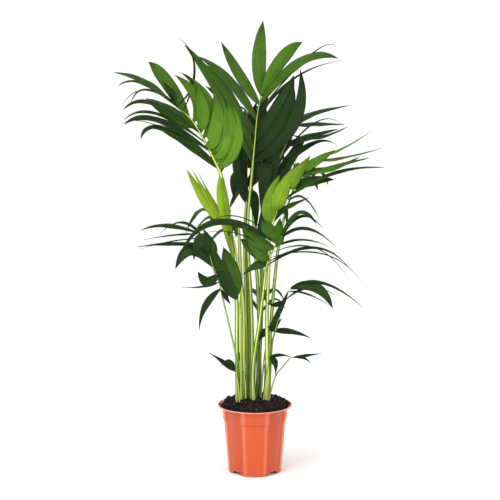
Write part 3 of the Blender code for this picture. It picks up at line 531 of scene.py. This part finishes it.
def from_panel(angle):
    """Degrees from the middle of the nearest panel."""
    return abs(math.degrees(angle) % (360 / PANELS) - 180 / PANELS)


def polar(radius, angle):
    return radius * math.cos(angle), radius * math.sin(angle)


def land_share(angle):
    """0 on a panel, 1 on a land between two panels."""
    return smooth_step(PANEL_HALF_ANGLE - PANEL_EDGE, PANEL_HALF_ANGLE, from_panel(angle))


def wall_radius(height, angle, pot):
    """Outer radius of the wall: lands run down to the feet below a collar, panels lie deeper."""
    step = LIP_HEIGHT - pot.collar_height
    wall = LIP_RADIUS - pot.lip_width - pot.collar_step - COLLAR_FLARE
    tapered = wall - pot.taper * (1 - height / step)
    collar = mix(wall + pot.collar_step, LIP_RADIUS - pot.lip_width,
                 min(max((height - step) / pot.collar_height, 0), 1))
    land = mix(tapered, collar, smooth_step(step - 0.0004, step + 0.0012, height))
    if height < step:
        land -= COLLAR_GROOVE * smooth_step(step - 0.0036, step - 0.0014, height)
    return mix(tapered - pot.panel_recess, land, land_share(angle))


def turn_profile(profile, steps):
    """Spin a profile of (kind, radius, height) about the axis. A wall's radius is a stand-in until later."""
    bm = bmesh.new()
    kinds = bm.verts.layers.int.new("kind")
    points = []
    for kind, radius, height in profile:
        points.append(bm.verts.new((radius, 0, height)))
        points[-1][kinds] = kind
    edges = [bm.edges.new(pair) for pair in zip(points, points[1:])]
    bmesh.ops.spin(bm, geom=points + edges, cent=(0, 0, 0), axis=UP, angle=math.tau, steps=steps,
                   use_merge=True)
    bmesh.ops.remove_doubles(bm, verts=bm.verts, dist=1e-6)
    return bm, kinds


def make_pot(pot, materials):
    """Turn the pot's section all the way round, press its panels, and lift the drain notches in its foot."""
    step = LIP_HEIGHT - pot.collar_height
    neck = NECK_HEIGHT
    lip_in = LIP_RADIUS - pot.lip_width
    foot = lip_in - pot.collar_step - COLLAR_FLARE - pot.taper
    rows = [0.003, 0.006, 0.012, 0.02, 0.032, 0.046, 0.062, 0.078, 0.094, 0.11]
    rows += [step + above for above in (-0.012, -0.004, -0.003, -0.002, -0.0012, -0.0004, 0.0002, 0.0008,
                                        0.0014, 0.003, 0.01, 0.018)] + [neck - 0.002]
    underside = [(0, 0.001), (0.011, 0.001), (0.0125, 0.002), (0.0135, FLOOR_LOW), (0.03, FLOOR_LOW),
                 (0.055, FLOOR_LOW), (foot - 0.0035, FLOOR_LOW)]
    ring = [(foot - 0.0028, FLOOR_LOW - 0.001), (foot - 0.0022, 0.0008), (foot - 0.0016, 0),
            (foot - 0.0006, 0), (foot, 0.0008)]
    lip = [(lip_in + 0.0004, neck), (lip_in + 0.0022, neck + 0.002), (lip_in + 0.0055, neck + 0.003),
           (LIP_RADIUS - 0.0014, neck + 0.0035), (LIP_RADIUS - 0.0004, neck + 0.0041),
           (LIP_RADIUS, neck + 0.0052), (LIP_RADIUS - 0.0005, neck + 0.0064),
           (LIP_RADIUS - 0.0014, LIP_HEIGHT), (LIP_RADIUS - 0.0028, LIP_HEIGHT - 0.0004),
           (lip_in + 0.0045, LIP_HEIGHT - 0.0014), (lip_in + 0.0018, LIP_HEIGHT - 0.0022),
           (lip_in - 0.0004, LIP_HEIGHT - 0.0042)]
    floor = [(foot - 0.006, FLOOR_HIGH), (0.04, FLOOR_HIGH), (0, FLOOR_HIGH)]
    inner_rows = [height for height in reversed(rows) if height > FLOOR_HIGH] + [FLOOR_HIGH + 0.0002]
    profile = [(PLAIN, *point) for point in underside] + [(FOOT, *point) for point in ring]
    profile += [(OUTSIDE, OUTER, height) for height in rows] + [(PLAIN, *point) for point in lip]
    profile += [(INSIDE, INNER, height) for height in inner_rows] + [(PLAIN, *point) for point in floor]
    bm, kinds = turn_profile(profile, POT_STEPS)
    for vert in bm.verts:
        kind, angle = vert[kinds], math.atan2(vert.co.y, vert.co.x)
        if kind == PLAIN:
            continue
        if kind == FOOT:
            radius = vert.co.xy.length - pot.panel_recess * (1 - land_share(angle))
        else:
            radius = wall_radius(vert.co.z, angle, pot) - (pot.wall_thickness if kind == INSIDE else 0)
        vert.co.xy = polar(radius, angle)
        if kind != INSIDE and vert.co.z < FLOOR_LOW:
            lift = 1 - smooth_step(NOTCH_HALF_ANGLE - NOTCH_EDGE, NOTCH_HALF_ANGLE, from_panel(angle))
            vert.co.z = mix(vert.co.z, max(vert.co.z, FLOOR_LOW - 0.0006 + 0.06 * vert.co.z), lift)
    turn_outwards(bm)
    piece = make_piece("nursery_pot", bm, materials, "pot", "pot")
    drill_drains(piece, pot)
    piece.data.set_sharp_from_angle(angle=math.radians(50))


def drill_drains(piece, pot):
    """Cut the round drain holes through the floor, then drop the cutter."""
    bm = bmesh.new()
    for number in range(pot.drain_holes):
        turn = Matrix.Rotation(math.tau * (number + 0.05) / pot.drain_holes, 4, "Z")
        place = turn @ Matrix.Translation((DRAIN_CIRCLE, 0, FLOOR_LOW))
        bmesh.ops.create_cone(bm, cap_ends=True, segments=32, radius1=pot.drain_radius,
                              radius2=pot.drain_radius, depth=0.02, matrix=place)
    cutter = add_object("drain_cutter", bm)
    modifier = piece.modifiers.new("drains", "BOOLEAN")
    modifier.operation = "DIFFERENCE"
    modifier.solver = "EXACT"
    modifier.object = cutter
    shape = piece.evaluated_get(bpy.context.evaluated_depsgraph_get())
    finished = bpy.data.meshes.new_from_object(shape)
    piece.modifiers.clear()
    piece.data = finished
    bpy.data.objects.remove(cutter, do_unlink=True)


def soil_height(x, y, soil):
    """Height of the lumpy surface of the soil, above the lip."""
    radius = math.hypot(x, y)
    heap = mix(soil.crown, soil.shoulder, smooth_step(0.045, 0.074, radius))
    heap = mix(heap, -soil.drop, smooth_step(0.0775, LIP_RADIUS - 0.0115, radius))
    lumps, clods, grain = (share * noise.noise(Vector((x * scale, y * scale, layer)))
                           for share, scale, layer in ((1, 55, 3), (0.5, 130, 9), (0.25, 420, 5)))
    return heap + soil.lumps * (lumps + clods + grain)


def make_soil(soil, pot, materials):
    """The plug of soil that fills the pot, with its lumpy heap."""
    margin = pot.wall_thickness + SOIL_CLEARANCE
    low = FLOOR_HIGH + SOIL_CLEARANCE
    profile = [(PLAIN, 0, low), (PLAIN, 0.03, low)]
    profile += [(OUTSIDE, OUTER, height) for height in (low, 0.02, 0.05, 0.09, 0.12, 0.135, 0.145, 0.155)]
    # The heap's points stand above each other: their height falls by their share of the way out to the wall
    profile += [(HEAP, INNER, 2 - number / SOIL_RINGS) for number in range(SOIL_RINGS, 0, -1)]
    profile += [(HEAP, 0, 2)]
    bm, kinds = turn_profile(profile, SOIL_STEPS)
    for vert in bm.verts:
        kind, angle = vert[kinds], math.atan2(vert.co.y, vert.co.x)
        if kind == PLAIN:
            continue
        height = vert.co.z if kind == OUTSIDE else LIP_HEIGHT - soil.drop
        radius = wall_radius(height, angle, pot) - margin
        if kind == HEAP:
            radius *= 2 - vert.co.z
        vert.co.xy = polar(radius, angle)
        if kind == HEAP:
            vert.co.z = LIP_HEIGHT + soil_height(vert.co.x, vert.co.y, soil)
    turn_outwards(bm)
    make_piece("soil_heap", bm, materials, "soil", "soil")


def make_crumbs(soil, materials):
    """Loose crumbs of peat and a few pale grains of grit, half sunk in the heap."""
    chance = random.Random(SEED)
    bm = bmesh.new()
    for number in range(soil.crumbs + soil.spilled + soil.grit):
        pale = number >= soil.crumbs + soil.spilled
        spilled = soil.crumbs <= number < soil.crumbs + soil.spilled
        reach = math.sqrt(chance.random()) * (LIP_RADIUS - 0.014)
        if spilled:
            reach = LIP_RADIUS - chance.uniform(0.006, 0.015)
        x, y = polar(reach, chance.uniform(0, math.tau))
        size = chance.uniform(*GRIT_SIZES) if pale else mix(*CRUMB_SIZES, chance.random() ** 3)
        height = LIP_HEIGHT + (0 if spilled else soil_height(x, y, soil)) + size * 0.2
        place = Matrix.Translation((x, y, height)) @ Matrix.Rotation(chance.uniform(0, math.tau), 4, "Z")
        tilt = Matrix.Rotation(chance.uniform(0, math.tau), 4, "X")
        squash = Matrix.Diagonal((size * chance.uniform(0.8, 1.5), size, size * chance.uniform(0.6, 1), 1))
        lump = bmesh.ops.create_icosphere(bm, subdivisions=1, radius=1, matrix=place @ tilt @ squash)["verts"]
        for vert in lump:
            vert.co += Vector([chance.uniform(-DENT, DENT) * size for axis in range(3)])
        for face in {face for vert in lump for face in vert.link_faces}:
            face.material_index = int(pale)
    turn_outwards(bm)
    piece = make_piece("soil_crumbs", bm, materials, "soil")
    piece.data.set_sharp_from_angle(angle=math.radians(25))


class Wire:
    """An output socket of a material, with arithmetic that adds Math nodes."""

    def __init__(self, paint, socket):
        self.paint = paint
        self.socket = socket

    def __add__(self, other):
        return self.paint.math("ADD", self, other)

    def __sub__(self, other):
        return self.paint.math("SUBTRACT", self, other)

    def __rsub__(self, other):
        return self.paint.math("SUBTRACT", other, self)

    def __mul__(self, other):
        return self.paint.math("MULTIPLY", self, other)

    def __abs__(self):
        return self.paint.math("ABSOLUTE", self)

    __radd__ = __add__
    __rmul__ = __mul__

    def sine(self):
        return self.paint.math("SINE", self)

    def clamped(self):
        return self.paint.math("MINIMUM", self.paint.math("MAXIMUM", self, 0), 1)


class Paint:
    """One material and its nodes."""

    def __init__(self, name, **constants):
        self.material = bpy.data.materials.new(name)
        self.material.use_nodes = True
        self.tree = self.material.node_tree
        self.shader = self.tree.nodes["Principled BSDF"]
        for socket in self.shader.inputs:
            value = constants.get(socket.name.lower().replace(" ", "_"))
            if value is not None:
                socket.default_value = value

    def node(self, kind, settings=None, sockets=None, output=0):
        """Add a node: its settings first, then the values or wires of its sockets."""
        node = self.tree.nodes.new(kind)
        for setting, value in (settings or {}).items():
            if setting == "stops":
                stops = node.color_ramp.elements
                while len(stops) < len(value):
                    stops.new(0.5)
                for stop, (position, colour) in zip(stops, value):
                    stop.position = position
                    stop.color = (*colour, 1)
            else:
                setattr(node, setting, value)
        for name, value in (sockets or {}).items():
            if isinstance(value, Wire):
                self.tree.links.new(value.socket, node.inputs[name])
            else:
                node.inputs[name].default_value = value
        return Wire(self, node.outputs[output])

    def math(self, operation, *values):
        return self.node("ShaderNodeMath", {"operation": operation}, dict(enumerate(values)))

    def attribute(self, name):
        return self.node("ShaderNodeAttribute", {"attribute_name": name}, output="Fac")

    def place(self, stretch=(1, 1, 1)):
        """Object coordinates, stretched along the axes."""
        where = self.node("ShaderNodeTexCoord", output="Object")
        return self.node("ShaderNodeMapping", {}, {"Vector": where, "Scale": stretch})

    def speckle(self, where, scale=1.0, detail=3.0):
        """Soft noise between 0 and 1."""
        return self.node("ShaderNodeTexNoise", {}, {"Vector": where, "Scale": scale, "Detail": detail},
                         output="Fac")

    def ramp(self, value, *stops):
        """A colour between stops of (position, colour)."""
        stops = [(position, tuple(colour)) for position, colour in stops]
        return self.node("ShaderNodeValToRGB", {"stops": stops}, {"Fac": value})

    def blend(self, share, start, end):
        """Mix two colours."""
        start, end = (colour if isinstance(colour, Wire) else (*colour, 1) for colour in (start, end))
        return self.node("ShaderNodeMix", {"data_type": "RGBA"}, {0: share, 6: start, 7: end}, output=2)

    def step(self, value, low, high):
        """0 below low, 1 above high and a smooth rise between them."""
        settings = {"interpolation_type": "SMOOTHSTEP"}
        return self.node("ShaderNodeMapRange", settings, {"Value": value, "From Min": low, "From Max": high})

    def finish(self, base_color, roughness, height, depth):
        """Lead colour and roughness into the shader, and a height through a bump of that many metres."""
        bump = self.node("ShaderNodeBump", {}, {"Height": height, "Distance": depth})
        for name, wire in (("Base Color", base_color), ("Roughness", roughness), ("Normal", bump)):
            self.tree.links.new(wire.socket, self.shader.inputs[name])
        return self.material


def leaf_material(foliage):
    """Glossy leaf: darker or lighter with the leaflet's tone, which holds painted light and shade as well as
    its age; ribbed, with stripes that are partly vein colour and partly painted highlight and shade on the
    pleats; mottled, and dry at the tip.
    """
    paint = Paint("palm_leaf", specular_ior_level=0.17)
    along, across, tone = (paint.attribute(layer) for layer in ("along", "across", "tone"))
    where = paint.place()
    mottle = paint.speckle(where, 38.0)
    broad = paint.speckle(where, 9.0, 2.0)
    fine = (across * 90).sine()
    # The ribs and the midrib make paler and darker stripes: partly the veins' own colour, partly a painted
    # highlight and painted shade along the pleats.
    ribs = (across * 19).sine()
    midrib = 1 - paint.step(abs(across), 0.0, 0.09)
    level = tone + (mottle - 0.5) * 0.16 + (broad - 0.5) * 0.2 + ribs * 0.035 + fine * 0.015 + midrib * 0.08
    darkest = [0.45 * part for part in foliage.dark]
    colour = paint.ramp(level.clamped(), (0.0, darkest), (0.25, foliage.dark), (0.5, foliage.middle),
                        (0.75, foliage.light), (1.0, foliage.young))
    dry = paint.step(along + (mottle - 0.5) * 0.12, 0.78, 0.99)
    colour = paint.blend(dry * (1 - 1.3 * tone).clamped(), colour, foliage.tips)
    gloss = 0.36 + (mottle - 0.5) * 0.2 + dry * 0.25
    return paint.finish(colour, gloss, fine * 0.35 + ribs * 0.6 + mottle * 0.5, foliage.rib_depth)


def stalk_material(foliage):
    """Green stalk: streaked along its length, paler and browner low down, with small dark spots, painted
    shade down both sides and a painted highlight down the middle.
    """
    paint = Paint("palm_stalk", specular_ior_level=0.3)
    along, across, tone = (paint.attribute(layer) for layer in ("along", "across", "tone"))
    streaks = paint.speckle(paint.place((260, 260, 6)), 1.0, 2.0)
    patches = paint.speckle(paint.place((24, 24, 9)))
    spots = paint.speckle(paint.place((1, 1, 0.7)), 420.0, 1.0)
    # Painted shade: the sides of a stalk, as seen from the front, are darkened towards the dark stalk colour.
    edge = paint.step(abs(across) + (patches - 0.5) * 0.3, 0.35, 0.95)
    # Painted highlight: a pale band down the middle of the stalk, a little off centre.
    middle_highlight = 1 - paint.step(abs(across + 0.15), 0.0, 0.4)
    level = tone + (streaks - 0.5) * 0.6 + (patches - 0.5) * 0.4 - edge * 0.8 + middle_highlight * 0.38
    colour = paint.ramp(level.clamped(), (0.0, foliage.stalk_dark), (0.5, foliage.stalk),
                        (1.0, foliage.stalk_light))
    sheath = (1 - paint.step(along + (patches - 0.5) * 0.12, 0.06, 0.2)) * 0.55
    colour = paint.blend(sheath, colour, foliage.sheath)
    colour = paint.blend(paint.step(spots, 0.68, 0.74) * 0.55, colour, foliage.spots)
    gloss = 0.42 + (patches - 0.5) * 0.25 + sheath * 0.3
    return paint.finish(colour, gloss, streaks + spots * 0.2, 0.0004)


def pot_material(pot):
    """Moulded plastic: a soft gloss, faint flow lines, and some dust and scuffs near the foot; painted shade
    on the four recessed panels, and a painted highlight down the edges beside them and along the top of the
    lip.
    """
    paint = Paint("terracotta_plastic", specular_ior_level=0.5)
    where = paint.place()
    grain = paint.speckle(where, 900.0, 2.0)
    cloud = paint.speckle(where, 14.0)
    flow = paint.speckle(paint.place((60, 60, 4)), 1.0, 2.0)
    x, y, height = (paint.node("ShaderNodeSeparateXYZ", {}, {0: where}, output=axis) for axis in "XYZ")
    turn = paint.math("COSINE", paint.math("ARCTAN2", y, x) * PANELS)
    # Painted highlight: a pale band down each edge beside the panels.
    corner = 1 - paint.step(abs(turn - 0.1), 0.08, 0.34)
    # Painted shade: the recessed panels are darker than the lands.
    panel = 1 - paint.step(turn, -0.35, 0.0)
    dust = (1 - paint.step(height + (cloud - 0.5) * 0.03, 0.0, 0.022)) * 0.25
    # Painted highlight along the top of the lip.
    highlit = paint.step(height, LIP_HEIGHT - 0.0045, LIP_HEIGHT - 0.001) * 0.6
    colour = paint.blend((cloud * 0.6 + flow * 0.4 - 0.2).clamped(), pot.colour, pot.colour_light)
    for share, shade in ((panel * 0.8, pot.panel_shade_colour), (corner * 0.75, pot.corner_highlight_colour),
                         (dust, pot.dust_colour), (highlit, pot.lip_highlight_colour)):
        colour = paint.blend(share, colour, shade)
    gloss = 0.2 + (cloud - 0.5) * 0.08 + dust * 0.4
    return paint.finish(colour, gloss, grain * 0.25 + flow * 0.5, 0.0002)


def soil_material(soil):
    """Damp peat: near black, with browner fibres."""
    paint = Paint("damp_peat", specular_ior_level=0.12)
    clods = paint.speckle(paint.place(), 160.0, 4.0)
    fibres = paint.speckle(paint.place((900, 200, 500)))
    colour = paint.ramp((clods * 0.7 + fibres * 0.3).clamped(), (0.35, soil.dark), (0.55, soil.colour),
                        (0.75, soil.fibre))
    return paint.finish(colour, 0.95 - clods * 0.25, clods + fibres * 0.6, 0.0015)


def grit_material():
    """Pale grains of grit and lime."""
    paint = Paint("pale_grit")
    cloud = paint.speckle(paint.place(), 700.0)
    colour = paint.ramp(cloud, (0.35, (0.16, 0.15, 0.06)), (0.65, (0.5, 0.48, 0.38)))
    return paint.finish(colour, 0.7 + cloud * 0.2, cloud, 0.0004)


def colour_property(name, description, default):
    return bpy.props.FloatVectorProperty(name=name, description=description, subtype="COLOR", size=3,
                                         min=0, max=1, default=default)


def length_property(name, description, default):
    return bpy.props.FloatProperty(name=name, description=description, unit="LENGTH", default=default,
                                   precision=4)


def number_property(name, description, default):
    return bpy.props.FloatProperty(name=name, description=description, default=default)


def count_property(name, description, default):
    return bpy.props.IntProperty(name=name, description=description, min=0, default=default)


def power_property(name, description, default):
    return bpy.props.FloatProperty(name=name, description=description, subtype="POWER", default=default)


def place_property(name, description, default):
    return bpy.props.FloatVectorProperty(name=name, description=description, subtype="TRANSLATION",
                                         default=default)


class PalmPot(bpy.types.PropertyGroup):
    """Sizes and colours of the nursery pot."""
    wall_thickness: length_property("Wall", "Thickness of the wall", 0.0015)
    lip_width: length_property("Lip", "How far the lip stands out from the collar", 0.011)
    collar_height: length_property("Collar", "From the stacking step up to the top of the lip", 0.037)
    collar_step: length_property("Step", "Width of the stacking step", 0.0026)
    taper: length_property("Taper", "How much the wall narrows down to the ground", 0.0115)
    panel_recess: length_property("Recess", "How far the four panels lie behind the wall", 0.0026)
    drain_radius: length_property("Drain radius", "Radius of a drain hole", 0.004)
    drain_holes: count_property("Drains", "Number of drain holes", 6)
    colour: colour_property("Colour", "Moulded plastic", (0.56, 0.07, 0.009))
    colour_light: colour_property("Light colour", "Where the plastic flowed thinner", (0.62, 0.085, 0.013))
    # Painted shade: a darker copy of the plastic's colour on the four recessed panels.
    panel_shade_colour: colour_property("Panel colour", "The four recessed panels", (0.45, 0.054, 0.008))
    # Painted highlight: a pale band down each edge beside the panels.
    corner_highlight_colour: colour_property("Corner colour", "The thin corners beside the panels", (0.72, 0.15, 0.06))
    # Painted highlight along the top of the lip.
    lip_highlight_colour: colour_property("Lip colour", "The rubbed edge of the lip", (0.78, 0.4, 0.3))
    dust_colour: colour_property("Dust colour", "Dust near the ground", (0.33, 0.12, 0.06))


class PalmSoil(bpy.types.PropertyGroup):
    """Shape and colours of the soil."""
    crown: length_property("Crown", "Top of the heap above the lip", 0.0145)
    shoulder: length_property("Shoulder", "Height above the lip where the heap begins to fall", 0.009)
    drop: length_property("Drop", "Edge of the heap below the lip", 0.0005)
    lumps: length_property("Lumps", "Height of the largest lumps", 0.0055)
    crumbs: count_property("Crumbs", "Number of loose crumbs", 620)
    spilled: count_property("Spilled", "Number of crumbs on the lip", 230)
    grit: count_property("Grit", "Number of pale grains", 46)
    dark: colour_property("Dark", "Wet hollows", (0.006, 0.004, 0.004))
    colour: colour_property("Colour", "Damp peat", (0.018, 0.012, 0.01))
    fibre: colour_property("Fibre", "Dry fibres", (0.06, 0.04, 0.028))


class PalmFoliage(bpy.types.PropertyGroup):
    """Shape and colours of the stalks and leaflets."""
    fold: number_property("Fold", "Slope of each half of a leaflet, in degrees", 17)
    pleat: number_property("Pleat", "Depth of the pleats, as a share of half the width", 0.045)
    wave: number_property("Wave", "Ripple of the edges, as a share of half the width", 0.07)
    twist: number_property("Twist", "Most that a leaflet turns along its length, in degrees", 14)
    thickness: length_property("Thickness", "Thickness of a leaflet", 0.0005)
    rib_depth: length_property("Ribs", "Depth of the fine ribs", 0.0005)
    # From dark to newest, the leaf colours are picked by each leaflet's tone, which holds painted shade on
    # shaded leaflets and painted light on lit ones as well as their age.
    dark: colour_property("Dark", "Old leaflets", (0.014, 0.046, 0.004))
    middle: colour_property("Middle", "Grown leaflets", (0.055, 0.143, 0.006))
    light: colour_property("Light", "Young leaflets", (0.108, 0.24, 0.012))
    young: colour_property("Newest", "Leaflets that have just opened", (0.3, 0.47, 0.018))
    tips: colour_property("Tips", "Dry tips", (0.02, 0.022, 0.018))
    # The dark stalk colour is also the painted shade down the sides of every stalk.
    stalk_dark: colour_property("Dark stalk", "Old stalks", (0.05, 0.1, 0.015))
    stalk: colour_property("Stalk", "Grown stalks", (0.25, 0.38, 0.035))
    # The light stalk colour is also the painted highlight down the middle of every stalk.
    stalk_light: colour_property("Light stalk", "Young stalks", (0.8, 0.93, 0.2))
    sheath: colour_property("Sheath", "The pale foot of a stalk", (0.42, 0.43, 0.16))
    spots: colour_property("Spots", "Small dark spots on the stalks", (0.05, 0.06, 0.015))


class PalmStage(bpy.types.PropertyGroup):
    """Camera, floor and lights."""
    camera_place: place_property("Camera", "Where the camera stands", (-0.0124, -3.2, 0.96))
    camera_target: place_property("Target", "What the camera looks at", (-0.0124, 0, 0.565))
    lens: number_property("Lens", "Focal length in millimetres", 92.9)
    sky: number_property("Sky", "Strength of the even white light", 1.02)
    key: power_property("Key", "Power of the large light above", 42)
    side: power_property("Sides", "Power of each light at the side", 9)
    floor: colour_property("Floor", "The plain floor", (0.97, 0.97, 0.97))


def foliage_materials(foliage):
    """The leaf and stalk materials, made once and shared."""
    makers = {"palm_leaf": leaf_material, "palm_stalk": stalk_material}
    return [bpy.data.materials.get(name) or make(foliage) for name, make in makers.items()]


class PALM_OT_pot(bpy.types.Operator):
    """Make the nursery pot"""
    bl_idname = "palm.pot"
    bl_label = "Pot"

    def execute(self, context):
        pot = context.scene.palm_pot
        make_pot(pot, [pot_material(pot)])
        return {"FINISHED"}


class PALM_OT_soil(bpy.types.Operator):
    """Make the heap of soil and its crumbs"""
    bl_idname = "palm.soil"
    bl_label = "Soil"

    def execute(self, context):
        soil = context.scene.palm_soil
        peat = soil_material(soil)
        make_soil(soil, context.scene.palm_pot, [peat])
        make_crumbs(soil, [peat, grit_material()])
        return {"FINISHED"}


class PALM_OT_stalks(bpy.types.Operator):
    """Make the stalk of every frond and the stubs of old ones"""
    bl_idname = "palm.stalks"
    bl_label = "Stalks"

    def execute(self, context):
        material = foliage_materials(context.scene.palm_foliage)[1]
        for frond in FRONDS:
            make_stalk(frond, material)
        make_stubs(material)
        return {"FINISHED"}


class PALM_OT_blades(bpy.types.Operator):
    """Make the blade of every frond"""
    bl_idname = "palm.blades"
    bl_label = "Blades"

    def execute(self, context):
        foliage = context.scene.palm_foliage
        materials = foliage_materials(foliage)
        for frond in FRONDS:
            make_blade(frond, materials, foliage)
        return {"FINISHED"}


class PALM_OT_stage(bpy.types.Operator):
    """Set up the floor, the soft lights and the camera"""
    bl_idname = "palm.stage"
    bl_label = "Stage"

    def execute(self, context):
        make_stage(context.scene.palm_stage, context.scene)
        return {"FINISHED"}


# The lights: name, place, width and height, and which setting of the stage is the power
LIGHTS = (("key_light", (-1.4, -1.8, 2.6), (1.6, 1.6), "key"),
          ("left_light", (-1.85, -0.85, 0.6), (0.3, 1.8), "side"),
          ("right_light", (1.85, -0.85, 0.6), (0.3, 1.8), "side"))
LIGHT_TARGET = (0, 0, 0.6)
FLOOR_REACH = 12            # metres from the pot to the edge of the floor


def set_up(scene, name, data, place, target):
    """Stand a light or a camera at a place and point it at a target."""
    thing = bpy.data.objects.new(name, data)
    thing.location = place
    thing.rotation_euler = (Vector(target) - Vector(place)).to_track_quat("-Z", "Y").to_euler()
    scene.collection.objects.link(thing)
    return thing


def make_stage(stage, scene):
    """A plain pale floor, an even white surround, soft lights and the camera."""
    bm = bmesh.new()
    bmesh.ops.create_grid(bm, x_segments=1, y_segments=1, size=FLOOR_REACH)
    floor = add_object("floor", bm)
    floor.data.materials.append(Paint("pale_floor", roughness=0.9, base_color=(*stage.floor, 1)).material)
    world = bpy.data.worlds.new("white_surround")
    world.use_nodes = True
    background = world.node_tree.nodes["Background"]
    background.inputs["Color"].default_value = (1, 1, 1, 1)
    background.inputs["Strength"].default_value = stage.sky
    scene.world = world
    for name, place, size, setting in LIGHTS:
        light = bpy.data.lights.new(name, "AREA")
        light.shape = "RECTANGLE"
        light.size, light.size_y = size
        light.energy = getattr(stage, setting)
        set_up(scene, name, light, place, LIGHT_TARGET)
    camera = bpy.data.cameras.new("camera")
    camera.sensor_width = 36
    camera.lens = stage.lens
    scene.camera = set_up(scene, "camera", camera, stage.camera_place, stage.camera_target)
    scene.view_settings.view_transform = "Standard"


GROUPS = {"palm_pot": PalmPot, "palm_soil": PalmSoil, "palm_foliage": PalmFoliage, "palm_stage": PalmStage}
OPERATORS = (PALM_OT_stage, PALM_OT_pot, PALM_OT_soil, PALM_OT_stalks, PALM_OT_blades)


class PALM_PT_builder(bpy.types.Panel):
    """Lists what the palm is built from"""
    bl_idname = "PALM_PT_builder"
    bl_label = "Potted palm"
    bl_space_type = "VIEW_3D"
    bl_region_type = "UI"
    bl_category = "Palm"

    def draw(self, context):
        for operator in OPERATORS:
            self.layout.operator(operator.bl_idname)
        for group in GROUPS:
            settings = getattr(context.scene, group)
            box = self.layout.box()
            box.label(text=group.replace("palm_", "").title())
            for name in settings.bl_rna.properties.keys():
                if name not in ("rna_type", "name"):
                    box.prop(settings, name)


CLASSES = (*GROUPS.values(), *OPERATORS, PALM_PT_builder)


def register():
    for item in CLASSES:
        bpy.utils.register_class(item)
    for name, group in GROUPS.items():
        setattr(bpy.types.Scene, name, bpy.props.PointerProperty(type=group))


def unregister():
    for name in GROUPS:
        delattr(bpy.types.Scene, name)
    for item in reversed(CLASSES):
        bpy.utils.unregister_class(item)


def main():
    register()
    bpy.ops.palm.stage()
    bpy.ops.palm.pot()
    bpy.ops.palm.soil()
    bpy.ops.palm.stalks()
    bpy.ops.palm.blades()
    bpy.context.view_layer.update()


if __name__ == "__main__":
    main()
